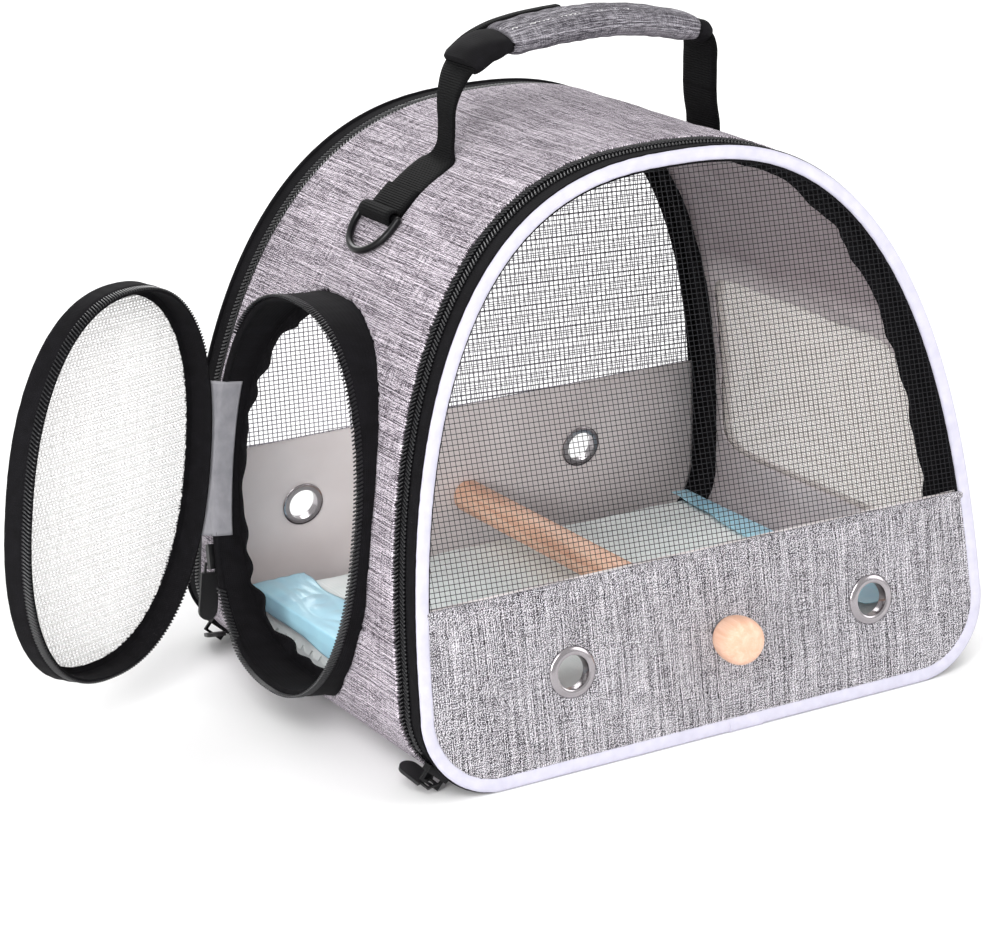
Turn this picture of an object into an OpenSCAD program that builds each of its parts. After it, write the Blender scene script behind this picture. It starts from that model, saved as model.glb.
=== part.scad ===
// Soft bird travel carrier: arched fabric tunnel on a base board, two leaning end panels that
// zip off and fold down, oval net door on the left wall, webbing handle, wooden perch.
// Millimetres, +Z up, front panel towards -Y, ground at z = 0.

/* [Body] */
// Width across the side walls
body_width = 280; // [260:1:300]
// Height of the roof above the ground
body_height = 246; // [236:1:262]
// Depth between the two end planes, taken at the ground
base_depth = 234.4; // [226:0.2:250]
// Inward lean of both end planes, in degrees
end_lean = 7; // [5:0.5:8]
// Radius of the two lower corners
corner_radius = 35; // [30:1:40]
// Height of the widest point of the arch
arch_foot = 8; // [4:1:12]
// Squareness of the arch, 2 is a plain ellipse
arch_power = 2.55; // [2.3:0.05:2.8]

/* [Fabric] */
// Thickness of the padded outer fabric
shell_t = 3; // [2.4:0.1:3.4]
// Thickness of the smooth lining
lining_t = 1; // [0.8:0.1:1.2]
// Depth of the outer fabric below the widest edge of the bindings
shell_inset = 0.8; // [0.6:0.1:1]
// Thickness of the bindings and tapes
tape_t = 0.8; // [0.7:0.05:0.9]
// Width of the loose seam tape inside the cabin
seam_tape_w = 6.4; // [4:0.2:8]
// Thickness of the board under the floor
board_t = 4; // [3:0.5:5]

/* [End panels] */
// Width of the piping round an end panel
trim_w = 4.8; // [4.4:0.1:6]
// Height of the piping in front of the panel plane
trim_rise = 1.4; // [1.2:0.1:2]
// Height of the fabric part of the front panel
lower_panel_h = 79; // [72:1:90]
// Height of the fabric part of the rear panel
rear_panel_h = 88; // [80:1:94]
// Thickness of the fabric part of an end panel
lower_panel_t = 3; // [2.6:0.1:3.4]
// Height of the fold line of an end panel
fold_h = 3; // [2.6:0.1:3.4]
// Height at which an end panel's zip starts at the lower corners
zip_start_h = 18; // [17:0.5:24]
// Height at which the tunnel's row of teeth ends, under the slider
zip_end_h = 5; // [4:0.5:7]
// Depth of one row of zip teeth
teeth_w = 2.6; // [2.2:0.1:3]
// Depth of the zip tape that stands on an end panel
panel_band_w = 8; // [6:0.25:9]
// Distance between the two rows of zip teeth
zip_gap = 0.3; // [0.3:0.05:0.5]
// Depth of the binding round the tunnel
binding_w = 6; // [5:0.25:7]
// Radius of the spring wire in the binding
hoop_r = 1.2; // [1:0.05:1.25]

/* [Nets] */
// Spacing of the threads of every net
net_pitch = 16; // [15:0.5:18]
// Width of a thread
thread_w = 1.8; // [1.4:0.1:2.2]
// Thickness of a net
net_t = 1; // [0.8:0.1:1.2]
// Width of the selvedge round a net
selvedge_w = 2; // [1.6:0.1:2.6]
// Lower edge of the window in the right wall
window_low = 50; // [44:1:56]
// Upper edge of the window in the right wall
window_high = 141; // [130:1:148]
// Distance of the window from the tunnel's bindings
window_margin = 5; // [4:0.5:9]

/* [Side door] */
// Half length of the door from front to back
door_half_y = 68; // [62:0.5:70]
// Half height of the door
door_half_z = 85; // [80:0.5:87]
// Squareness of the door's oval
door_power = 2.3; // [2.1:0.05:2.6]
// Height of the door's middle
door_mid_z = 101; // [99:0.5:104]
// Position of the door's middle from front to back
door_mid_y = 1; // [-3:0.5:4]
// Distance of the door's zip outside the widest part of the side wall
door_stand = 2; // [0:0.5:4]
// Tilt of the door towards the roof, in degrees
door_tilt = 7.5; // [6:0.25:9]
// Thickness of the door's fabric walls
door_wall_t = 2; // [1.8:0.1:2.4]
// Depth of the wall that stands on the door leaf
door_band_w = 7; // [6:0.25:8]
// Width of the piping round the door leaf
door_piping_w = 5; // [4:0.25:6]
// Opening of the door leaf as drawn, in degrees
door_open = 58; // [50:1:62]
// Length of the fabric hinge
door_hinge_l = 70; // [60:1:76]

/* [Handle] */
// Width of all webbing
webbing_w = 26; // [24:0.5:28]
// Thickness of all webbing
webbing_t = 1.6; // [1.4:0.1:1.8]
// Middle of the handle, to the right of the carrier's middle
handle_mid_x = 6; // [2:0.5:8]
// Half distance between the points where the webbing leaves the roof
handle_half = 66; // [62:0.5:70]
// Half distance between the two D-rings
ring_half = 94; // [91:0.5:97]
// Height above the roof of the line on which the handle swings
swing_rise = 3.5; // [3:0.5:6]
// Width of the padded grip
grip_w = 31; // [29:0.5:33]
// Thickness of the padded grip
grip_t = 12; // [11:0.25:14]
// Radius of the wire of a D-ring
ring_wire_r = 1.6; // [1.4:0.1:1.8]
// Gap between webbing and wire inside a loop
ring_clearance = 0.3; // [0.3:0.05:0.5]

/* [Perch] */
// Radius of the wooden perch
perch_r = 7.75; // [6.5:0.25:8.5]
// Height of the perch
perch_h = 43; // [40:0.5:48]
// Gap between the free end of the perch and the rear panel
perch_clearance = 0.4; // [0.35:0.05:1]
// Radius of the steel stud
stud_r = 3; // [2.5:0.25:3.25]
// Radial clearance of the knob on its stud
knob_clearance = 0.05; // [0.03:0.01:0.09]
// Largest radius of the knob
knob_r = 10.2; // [9:0.2:12]
// Length of the knob
knob_l = 16; // [14:0.5:20]
// Distance of an eyelet from the perch
eyelet_half = 75; // [68:1:80]
// Height of the front eyelets
eyelet_h = 42; // [38:0.5:48]
// Height of the rear eyelets
rear_eyelet_h = 56; // [50:0.5:60]
// Hole radius of an eyelet
eyelet_hole_r = 7.2; // [6.5:0.1:7.6]
// Flange radius of an eyelet
eyelet_flange_r = 11; // [10.5:0.25:12]

/* [Hidden] */
half_w = body_width / 2;
arch_rise = body_height - arch_foot;
lean_tan = tan(end_lean);
lean_cos = cos(end_lean);
corner_n = 5;
arch_n = 16;
eps = 0.01;
lining_in = shell_inset + shell_t;
cabin_in = lining_in + lining_t;
panel_back = -2;
panel_teeth_at = panel_back - panel_band_w;
body_teeth_at = panel_teeth_at - teeth_w - zip_gap;
binding_at = body_teeth_at - teeth_w;
shell_at = binding_at - tape_t - 2 * hoop_r;
binding_end = binding_at - binding_w;
binding_in = cabin_in + tape_t;
floor_h = cabin_in;
pad_z = floor_h + board_t;
front_face = panel_back + lower_panel_t;
perch_x = handle_mid_x;
door_out_x = half_w + door_stand;
swing_h = body_height + swing_rise;
band_end = -0.6;

// Points of the body's outline, moved inwards by d, counter-clockwise from the lower right
function arch_start_angle() = asin(pow((corner_radius + 4 - arch_foot) / arch_rise, arch_power / 2));
function arch_point(t, d) = let(
    p = [half_w * pow(cos(t), 2 / arch_power), arch_foot + arch_rise * pow(sin(t), 2 / arch_power)],
    n = [pow(cos(t), 2 - 2 / arch_power) / half_w, pow(sin(t), 2 - 2 / arch_power) / arch_rise])
    p - d * n / norm(n);
function corner_point(q, d) = [half_w - corner_radius + (corner_radius - d) * cos(q),
    corner_radius + (corner_radius - d) * sin(q)];
function half_outline(d) = concat(
    [for (i = [0:corner_n]) corner_point(-90 + 90 * i / corner_n, d)],
    [for (i = [0:arch_n]) let(a = arch_start_angle()) arch_point(a + (90 - a) * i / arch_n, d)]);
function outline(d) = let(h = half_outline(d), n = len(h))
    concat(h, [for (i = [n - 2:-1:0]) [-h[i][0], h[i][1]]]);
function flat_outline(d) = [for (p = outline(d)) [p[0], p[1] / lean_cos]];
function arch_angle(x) = acos(pow(abs(x) / half_w, arch_power / 2));
function roof_point(x, d) = let(p = arch_point(arch_angle(x), d)) [sign(x) * p[0], p[1]];

// Position of a plane that lies w outside the front end plane, at height z
function front_y(z, w) = -base_depth / 2 + z * lean_tan - w / lean_cos;

// Points of the door's oval, moved inwards by d
function door_point(q, d) = let(c = cos(q), s = sin(q), e = 2 / door_power,
    p = [door_half_y * sign(c) * pow(abs(c), e), door_half_z * sign(s) * pow(abs(s), e)],
    n = [sign(c) * pow(abs(c), 2 - e) / door_half_y, sign(s) * pow(abs(s), 2 - e) / door_half_z])
    p - d * n / norm(n);
function door_outline(d) = [for (i = [0:35]) door_point(10 * i + 5, d)];

// A strip of thickness t along a path of points
function path_normal(p, i) = let(a = p[max(i - 1, 0)], b = p[min(i + 1, len(p) - 1)], v = b - a)
    [-v[1], v[0]] / norm(v);
function path_strip(p, t) = concat(
    [for (i = [0:len(p) - 1]) p[i] + path_normal(p, i) * t / 2],
    [for (i = [len(p) - 1:-1:0]) p[i] - path_normal(p, i) * t / 2]);

// Closed sweep of n sections with m corners each
function loop_faces(n, m) = [for (i = [0:n - 1], j = [0:m - 1], k = [0, 1])
    let(a = i * m + j, b = i * m + (j + 1) % m, c = ((i + 1) % n) * m + j, e = ((i + 1) % n) * m + (j + 1) % m)
    k == 0 ? [a, b, c] : [b, e, c]];
function tube_faces(n, m) = concat(
    [for (i = [0:n - 2], j = [0:m - 1], k = [0, 1])
        let(a = i * m + j, b = i * m + (j + 1) % m, c = a + m, e = b + m)
        k == 0 ? [a, b, c] : [b, e, c]],
    [[for (j = [m - 1:-1:0]) j], [for (j = [0:m - 1]) (n - 1) * m + j]]);

// Shapes drawn in x and z, carried along y
module along_y(l = 600) {
    rotate([90, 0, 0]) linear_extrude(l, center = true) children();
}

// Shapes drawn in y and z, carried along x
module along_x(l = 600) {
    rotate([90, 0, 90]) linear_extrude(l, center = true) children();
}

module tube(d0, d1) {
    along_y() difference() {
        polygon(outline(d0));
        polygon(outline(d1));
    }
}

module cabin(d) {
    along_y() polygon(outline(d));
}

// Slice between two planes that lie w0 and w1 outside the front end plane
module front_slice(w0, w1) {
    along_x() polygon([[front_y(-60, w0), -60], [front_y(-60, w1), -60],
        [front_y(320, w1), 320], [front_y(320, w0), 320]]);
}

// Room between the front and rear planes that lie w outside the end planes
module between_ends(w) {
    along_x() polygon([[front_y(-60, w), -60], [-front_y(-60, w), -60],
        [-front_y(320, w), 320], [front_y(320, w), 320]]);
}

module above(z) {
    translate([-400, -400, z]) cube([800, 800, 500]);
}

module front_plane() {
    translate([0, -base_depth / 2, 0]) rotate([90 - end_lean, 0, 0]) children();
}

module at_rear() {
    mirror([0, 1, 0]) children();
}

module door_plane() {
    translate([-door_out_x, door_mid_y, door_mid_z]) rotate([0, door_tilt, 0]) rotate([90, 0, -90])
        children();
}

module door_ring(d0, d1) {
    difference() {
        polygon(door_outline(d0));
        polygon(door_outline(d1));
    }
}

// Net of square gaps inside a cut-out given as child
module net_2d(x0, x1, z0, z1, mid_x) {
    n0 = ceil((x0 - mid_x) / net_pitch);
    n1 = floor((x1 - mid_x) / net_pitch);
    rows = floor((z1 - z0) / net_pitch);
    union() {
        for (i = [n0:n1]) translate([mid_x + i * net_pitch - thread_w / 2, z0]) square([thread_w, z1 - z0]);
        for (i = [1:rows]) translate([x0, z0 + i * net_pitch - thread_w / 2]) square([x1 - x0, thread_w]);
    }
}

// ---- tunnel
module tunnel_shell() {
    color("#8d8890") difference() {
        intersection() {
            tube(shell_inset, lining_in);
            between_ends(shell_at);
        }
        window_hole();
        door_plane() translate([0, 0, -60]) linear_extrude(80) polygon(door_outline(0));
    }
    color("#8d8890") sole();
}

// Flat underside of the tunnel, level with the bindings
module sole() {
    flat = half_w - corner_radius;
    intersection() {
        between_ends(binding_end - 0.3);
        translate([-flat, -400, 0]) cube([2 * flat, 800, shell_inset + 1]);
    }
}

module tunnel_lining() {
    color("#a8a2a5") difference() {
        intersection() {
            tube(lining_in, cabin_in);
            between_ends(shell_at);
        }
        window_hole();
        door_plane() translate([0, 0, -60]) linear_extrude(80) polygon(door_outline(0));
    }
}

module window_shape(grow) {
    w = binding_end - window_margin + grow;
    z0 = window_low - grow;
    z1 = window_high + grow;
    polygon([[front_y(z0 + 6, w), z0 + 6], [front_y(z0, w) + 6, z0], [-front_y(z0, w) - 6, z0],
        [-front_y(z0 + 6, w), z0 + 6], [-front_y(z1 - 6, w), z1 - 6], [-front_y(z1, w) - 6, z1],
        [front_y(z1, w) + 6, z1], [front_y(z1 - 6, w), z1 - 6]]);
}

module window_hole() {
    translate([half_w, 0, 0]) along_x(80) window_shape(0);
}

module side_window_net() {
    y1 = -front_y(window_low, binding_end - window_margin);
    color("#3a3a3c") intersection() {
        tube(shell_inset + 1, shell_inset + 1 + net_t);
        translate([half_w, 0, 0]) along_x(80) intersection() {
            window_shape(0);
            union() {
                net_2d(-y1, y1, window_low, window_high, 0);
                difference() {
                    window_shape(0);
                    window_shape(-selvedge_w);
                }
            }
        }
    }
}

module base_board() {
    color("#4a4a4c") intersection() {
        cabin(cabin_in);
        between_ends(binding_end - 0.4);
        translate([-400, -400, floor_h - 1]) cube([800, 800, board_t + 1]);
    }
}

// ---- floor pad
pad_x = half_w - 22;
pad_y = base_depth / 2 - 27.2;
pad_t = 17;
film_t = 0.6;
film_w = 20;

module rounded_2d(hx, hy, r) {
    hull() for (sx = [-1, 1], sy = [-1, 1]) translate([sx * (hx - r), sy * (hy - r)]) circle(r, $fn = 12);
}

module floor_pad() {
    color("#e6e9ea") translate([0, 0, pad_z + film_t]) linear_extrude(pad_t) rounded_2d(pad_x, pad_y, 10);
}

module pad_film() {
    color("#8fd3ee") translate([0, 0, pad_z]) difference() {
        linear_extrude(pad_t + 2 * film_t) rounded_2d(pad_x + film_t, pad_y + film_t, 10 + film_t);
        translate([0, 0, film_t]) linear_extrude(pad_t) rounded_2d(pad_x, pad_y, 10);
        translate([0, 0, film_t]) linear_extrude(pad_t + 5) rounded_2d(pad_x - film_w, pad_y - film_w, 6);
    }
}

// ---- tunnel edges
module binding_ring() {
    difference() {
        intersection() {
            tube(0, binding_in);
            front_slice(binding_end, binding_at);
        }
        intersection() {
            tube(shell_inset, cabin_in);
            front_slice(binding_end - 10, binding_at - tape_t);
        }
    }
}

module front_binding() {
    color("#19191b") binding_ring();
}

module rear_binding() {
    color("#19191b") at_rear() binding_ring();
}

// Spring wire that lies in the binding, in front of the fabric's edge
module hoop_ring() {
    m = 6;
    mid = (shell_inset + cabin_in) / 2;
    w = binding_at - tape_t - hoop_r;
    sec = [for (j = [0:m - 1]) [mid + hoop_r * 0.98 * cos(60 * j), w + hoop_r * 0.98 * sin(60 * j)]];
    rings = [for (s = sec) outline(s[0])];
    n = len(outline(0));
    polyhedron([for (i = [0:n - 1], j = [0:m - 1]) [rings[j][i][0], front_y(rings[j][i][1], sec[j][1]), rings[j][i][1]]],
        loop_faces(n, m));
}

module front_hoop() {
    color("#6f7378") hoop_ring();
}

module rear_hoop() {
    color("#6f7378") at_rear() hoop_ring();
}

module body_teeth_ring() {
    intersection() {
        tube(0.4, 0.4 + teeth_w);
        front_slice(binding_at, body_teeth_at);
        above(zip_end_h);
    }
}

module front_zip_body() {
    color("#202022") body_teeth_ring();
}

module rear_zip_body() {
    color("#202022") at_rear() body_teeth_ring();
}

module seam_tape_ring() {
    intersection() {
        tube(binding_in, binding_in + seam_tape_w);
        front_slice(binding_end, binding_end + 1.2);
    }
}

module front_seam_tape() {
    color("#151517") seam_tape_ring();
}

module rear_seam_tape() {
    color("#151517") at_rear() seam_tape_ring();
}

// Tape along the ground, on which the end panel folds
module fold_tape() {
    intersection() {
        translate([-half_w + corner_radius, -400, 0]) cube([body_width - 2 * corner_radius, 800, tape_t * 1.5]);
        front_slice(binding_at, panel_back - 4.2);
    }
}

module front_fold_tape() {
    color("#1d1d1f") fold_tape();
}

module rear_fold_tape() {
    color("#1d1d1f") at_rear() fold_tape();
}

// ---- end panels
module trim_ring() {
    sec = [[trim_w, panel_back], [2.7, panel_back], [2.6, band_end], [0.3, band_end], [0, band_end + 0.4],
        [0, trim_rise - 0.8], [1, trim_rise - 0.2], [trim_w / 2, trim_rise], [trim_w - 1, trim_rise - 0.2],
        [trim_w, trim_rise - 0.8]];
    m = len(sec);
    rings = [for (s = sec) flat_outline(s[0])];
    n = len(outline(0));
    front_plane() polyhedron([for (i = [0:n - 1], j = [0:m - 1]) [rings[j][i][0], rings[j][i][1], sec[j][1]]],
        loop_faces(n, m));
}

module front_trim() {
    color("#f2f1f6") trim_ring();
}

module rear_trim() {
    color("#1c1c1e") at_rear() trim_ring();
}

module net_panel(panel_h) {
    top = body_height / lean_cos;
    low = panel_h / lean_cos;
    front_plane() translate([0, 0, -net_t]) linear_extrude(net_t) union() {
        intersection() {
            polygon(flat_outline(trim_w));
            translate([-half_w, low]) square([body_width, top]);
            union() {
                net_2d(-half_w, half_w, low, top, 0);
                translate([-half_w, low]) square([body_width, selvedge_w]);
                difference() {
                    polygon(flat_outline(trim_w));
                    polygon(flat_outline(trim_w + selvedge_w));
                }
            }
        }
    }
}

module front_net() {
    color("#2e2e30") net_panel(lower_panel_h);
}

module rear_net() {
    color("#2e2e30") at_rear() net_panel(rear_panel_h);
}

module lower_panel(panel_h, mid_x, hole_h, stud_hole) {
    front_plane() translate([0, 0, panel_back]) linear_extrude(lower_panel_t) difference() {
        intersection() {
            polygon(flat_outline(trim_w));
            translate([-half_w, 0]) square([body_width, panel_h / lean_cos]);
        }
        for (s = [-1, 1]) translate([mid_x + s * eyelet_half, hole_h / lean_cos])
            circle(eyelet_hole_r + 0.8, $fn = 32);
        if (stud_hole) translate([perch_x, perch_h / lean_cos]) circle(stud_r + 1, $fn = 24);
    }
}

module front_lower_panel() {
    color("#8d8890") lower_panel(lower_panel_h, perch_x, eyelet_h, true);
}

module rear_lower_panel() {
    color("#8d8890") at_rear() lower_panel(rear_panel_h, -perch_x, rear_eyelet_h, false);
}

module panel_band() {
    intersection() {
        tube(0.6, 0.6 + 2 * tape_t);
        front_slice(panel_teeth_at, band_end);
        above(zip_start_h);
    }
}

module front_zip_band() {
    color("#161618") panel_band();
}

module rear_zip_band() {
    color("#161618") at_rear() panel_band();
}

module panel_teeth_ring() {
    intersection() {
        tube(0.4, 0.4 + teeth_w);
        front_slice(panel_teeth_at - teeth_w, panel_teeth_at);
        above(zip_start_h);
    }
}

module front_zip_panel() {
    color("#202022") panel_teeth_ring();
}

module rear_zip_panel() {
    color("#202022") at_rear() panel_teeth_ring();
}

module eyelet(side, mid_x, hole_h) {
    r = eyelet_hole_r;
    f = eyelet_flange_r;
    front_plane() translate([mid_x + side * eyelet_half, hole_h / lean_cos, 0])
        rotate_extrude($fn = 32) polygon([[r, panel_back - 0.9], [f - 1, panel_back - 0.9], [f - 1, panel_back],
            [r + 0.8, panel_back], [r + 0.8, front_face], [f, front_face], [f, front_face + 0.5],
            [f - 1.4, front_face + 1.3], [r + 1.2, front_face + 1.3], [r, front_face + 0.5]]);
}

module front_eyelet_left() {
    color("#b9b7ba") eyelet(-1, perch_x, eyelet_h);
}

module front_eyelet_right() {
    color("#b9b7ba") eyelet(1, perch_x, eyelet_h);
}

module rear_eyelet_left() {
    color("#b9b7ba") at_rear() eyelet(-1, -perch_x, rear_eyelet_h);
}

module rear_eyelet_right() {
    color("#b9b7ba") at_rear() eyelet(1, -perch_x, rear_eyelet_h);
}

// ---- perch
perch_end_y = -front_y(perch_h + perch_r, panel_back) - perch_clearance;
washer_r = 7;
washer_y = front_y(perch_h - washer_r, front_face) - 0.5;
knob_back_y = washer_y - 0.3;
knob_bore_l = knob_l - 6;
stud_in = 14;

module y_rod(r, y0, y1, fn = 32) {
    translate([perch_x, y1, perch_h]) rotate([90, 0, 0]) cylinder(r = r, h = y1 - y0, $fn = fn);
}

module perch() {
    color("#e3b992") difference() {
        intersection() {
            y_rod(perch_r, -base_depth, perch_end_y);
            front_slice(-2 * base_depth, panel_back);
        }
        y_rod(stud_r, -base_depth, front_y(perch_h, panel_back) + stud_in, 24);
    }
}

module perch_stud() {
    color("#a9abb0") y_rod(stud_r, knob_back_y - knob_bore_l + 1, front_y(perch_h, panel_back) + stud_in, 24);
}

module knob_washer() {
    color("#caa27c") difference() {
        intersection() {
            y_rod(washer_r, washer_y, 0);
            front_slice(front_face, front_face + 20);
        }
        y_rod(stud_r + 0.2, washer_y - 1, 0, 24);
    }
}

module perch_knob() {
    b = stud_r + knob_clearance;
    k = knob_r;
    l = knob_l;
    color("#e8bf9a") translate([perch_x, knob_back_y, perch_h]) rotate([90, 0, 0])
        rotate_extrude($fn = 36) polygon([[b, 0], [k * 0.62, 0], [k * 0.7, l * 0.08], [k * 0.88, l * 0.25],
            [k * 0.98, l * 0.45], [k, l * 0.62], [k * 0.97, l * 0.8], [k * 0.86, l * 0.93], [k * 0.68, l * 0.985],
            [0, l], [0, knob_bore_l], [b, knob_bore_l]]);
}

// ---- side door
door_teeth_w = 2.6;
leaf_teeth_w = 4.2;
door_hinge_w = 5.1;
door_hinge_x = 2.7 - door_half_y;
hinge_rod_r = 1.15;

module hinge_side_gap(w0, w1, l) {
    translate([-door_half_y - 20, -l / 2, w0]) cube([40, l, w1 - w0]);
}

module door_gusset() {
    color("#18181a") difference() {
        door_plane() translate([0, 0, -60]) linear_extrude(60) door_ring(0, door_wall_t);
        cabin(cabin_in);
    }
}

module door_seam_tape() {
    color("#121214") intersection() {
        door_plane() translate([0, 0, -60]) linear_extrude(60) door_ring(door_wall_t, door_wall_t + seam_tape_w);
        tube(cabin_in - 1.2, cabin_in);
    }
}

module door_zip_body() {
    color("#202022") door_plane() difference() {
        linear_extrude(door_teeth_w) door_ring(0, door_wall_t + 0.4);
        hinge_side_gap(-1, door_teeth_w + 1, door_hinge_l + 26);
    }
}

// Fabric hinge: a tape on the inside of the ring, a flap over its rim and the fold on which the leaf swings
module door_hinge_strip() {
    foot = door_hinge_x + 3.2;
    color("#8f8f92") door_plane() union() {
        translate([door_hinge_x, door_hinge_l / 2, door_hinge_w]) rotate([90, 0, 0])
            cylinder(r = hinge_rod_r, h = door_hinge_l, $fn = 24);
        translate([0, door_hinge_l / 2, 0]) rotate([90, 0, 0]) linear_extrude(door_hinge_l)
            polygon([[door_hinge_x - 0.5, door_hinge_w], [foot - 0.6, 0.4], [foot + 0.6, 0.4],
                [door_hinge_x + 0.6, door_hinge_w]]);
        intersection() {
            union() {
                linear_extrude(0.9) door_ring(0, 7);
                translate([0, 0, -9]) linear_extrude(9.4) door_ring(door_wall_t, door_wall_t + tape_t);
            }
            hinge_side_gap(-9, 2, door_hinge_l);
        }
    }
}

// Door leaf, drawn closed and swung open on its hinge line
module leaf_pose() {
    door_plane() translate([door_hinge_x, 0, door_hinge_w]) rotate([0, -door_open, 0])
        translate([-door_hinge_x, 0, -door_hinge_w]) children();
}

leaf_teeth_at = door_teeth_w + zip_gap;
leaf_band_at = leaf_teeth_at + leaf_teeth_w;
leaf_piping_at = leaf_band_at + door_band_w;

module door_zip_leaf() {
    color("#202022") leaf_pose() difference() {
        translate([0, 0, leaf_teeth_at]) linear_extrude(leaf_teeth_w) door_ring(0, door_wall_t + 0.4);
        hinge_side_gap(0, leaf_band_at + 1, door_hinge_l + 26);
    }
}

module door_band() {
    color("#18181a") leaf_pose() union() {
        translate([0, 0, leaf_band_at]) linear_extrude(door_band_w) door_ring(0, door_wall_t);
        intersection() {
            translate([0, 0, door_hinge_w + 1.5]) linear_extrude(leaf_band_at - door_hinge_w) door_ring(0, door_wall_t);
            hinge_side_gap(0, leaf_band_at + 1, door_hinge_l + 6);
        }
    }
}

module door_piping() {
    color("#1c1c1e") leaf_pose() translate([0, 0, leaf_piping_at]) linear_extrude(2) door_ring(0, door_piping_w);
}

module door_net() {
    color("#f1efec") leaf_pose() translate([0, 0, leaf_piping_at]) linear_extrude(net_t) intersection() {
        polygon(door_outline(door_piping_w));
        union() {
            net_2d(-door_half_y, door_half_y, -door_half_z + net_pitch / 2, door_half_z, 0);
            door_ring(door_piping_w - 1, door_piping_w + selvedge_w);
        }
    }
}

// ---- webbing straps, sewn to the roof, with a loop round a D-ring
module strap(side) {
    x_leave = handle_mid_x + side * handle_half;
    x_ring = handle_mid_x + side * ring_half;
    bar = roof_point(x_ring, -loop_out);
    x_a = min(x_leave + side * webbing_t / 2, bar[0]);
    x_b = max(x_leave + side * webbing_t / 2, bar[0]);
    difference() {
        union() {
            intersection() {
                along_y(webbing_w) difference() {
                    polygon(outline(shell_inset - webbing_t));
                    polygon(outline(shell_inset));
                }
                translate([x_a, -100, 100]) cube([x_b - x_a, 200, 200]);
            }
            translate([bar[0], webbing_w / 2, bar[1]]) rotate([90, 0, 0])
                cylinder(r = ring_wire_r + ring_clearance + webbing_t, h = webbing_w, $fn = 32);
            intersection() {
                translate([x_leave - webbing_t / 2, -webbing_w / 2, 200]) cube([webbing_t, webbing_w, swing_h - 200]);
                difference() {
                    cabin(-100);
                    cabin(shell_inset);
                }
            }
            translate([x_leave - webbing_t / 2, 0, swing_h]) rotate([0, 90, 0])
                cylinder(r = webbing_w / 2, h = webbing_t, $fn = 32);
        }
        translate([bar[0], webbing_w, bar[1]]) rotate([90, 0, 0])
            cylinder(r = ring_wire_r + ring_clearance, h = 2 * webbing_w, $fn = 32);
        cabin(shell_inset);
    }
}

loop_out = webbing_t + ring_clearance + ring_wire_r - shell_inset + 0.1;

module strap_left() {
    color("#1b1b1d") strap(-1);
}

module strap_right() {
    color("#1b1b1d") strap(1);
}

// D-ring on its bar, hanging down along the wall
module d_ring(side) {
    x_ring = handle_mid_x + side * ring_half;
    bar = roof_point(x_ring, -loop_out);
    low = roof_point(x_ring + side * 4, -loop_out);
    a = atan2(low[1] - bar[1], low[0] - bar[0]);
    arm = webbing_w / 2 + ring_wire_r + 0.7;
    translate([bar[0], 0, bar[1]]) rotate([0, -a, 0]) union() {
        rotate([90, 0, 0]) cylinder(r = ring_wire_r, h = 2 * arm, center = true, $fn = 24);
        for (s = [-1, 1]) translate([0, s * arm, 0]) rotate([0, 90, 0]) cylinder(r = ring_wire_r, h = 3, $fn = 24);
        for (s = [-1, 1]) translate([0, s * arm, 0]) sphere(r = ring_wire_r, $fn = 24);
        translate([3, 0, 0]) rotate([0, 0, -90]) rotate_extrude(angle = 180, $fn = 48) translate([arm, 0])
            circle(r = ring_wire_r, $fn = 24);
    }
}

module d_ring_left() {
    color("#2a2b2e") d_ring(-1);
}

module d_ring_right() {
    color("#2a2b2e") d_ring(1);
}

// ---- handle
module_gap = 0.3;
left_x = handle_mid_x - handle_half + webbing_t + module_gap;
right_x = handle_mid_x + handle_half - webbing_t - module_gap;
grip_path = [[-30, 32.7], [-6, 35.1], [18, 35.5], [42, 32.7], [62.5, 27.7]];
left_turn = [[left_x, 0], [left_x + 0.3, 7.5], [left_x + 3, 16], [left_x + 9, 24.7], [left_x + 16.5, 29.6]];
right_turn = [[right_x - 1.4, 24.9], [right_x + 0.2, 21], [right_x + 0.3, 10.5], [right_x, 0]];
handle_path = [for (p = concat(left_turn, grip_path, right_turn)) [p[0], swing_h + p[1]]];
grip_first = len(left_turn);
grip_last = grip_first + len(grip_path) - 1;

module handle_webbing() {
    color("#1b1b1d") union() {
        along_y(webbing_w) polygon(path_strip(handle_path, webbing_t));
        for (x = [left_x, right_x]) translate([x - webbing_t / 2, 0, swing_h]) rotate([0, 90, 0])
            cylinder(r = webbing_w / 2, h = webbing_t, $fn = 32);
    }
}

// Padded sleeve of width w and thickness t round the webbing, between two points of its path
module sleeve(first, last, w, t) {
    sec = [for (k = [[-0.5, -0.2], [-0.36, -0.44], [0, -0.5], [0.36, -0.44], [0.5, -0.2],
        [0.5, 0.2], [0.36, 0.44], [0, 0.5], [-0.36, 0.44], [-0.5, 0.2]]) [k[0] * w, k[1] * t]];
    m = len(sec);
    difference() {
        polyhedron([for (i = [first:last], j = [0:m - 1])
            let(q = handle_path[i] + path_normal(handle_path, i) * sec[j][1]) [q[0], sec[j][0], q[1]]],
            tube_faces(last - first + 1, m));
        along_y(webbing_w) polygon(path_strip(handle_path, webbing_t));
    }
}

module handle_grip() {
    color("#8d8890") sleeve(grip_first, grip_last, grip_w, grip_t);
}

module grip_wrap_left() {
    color("#1b1b1d") sleeve(grip_first - 2, grip_first, grip_w - 1, grip_t - 2);
}

module grip_wrap_right() {
    color("#1b1b1d") sleeve(grip_last, grip_last + 1, grip_w - 1, grip_t - 2);
}

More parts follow.
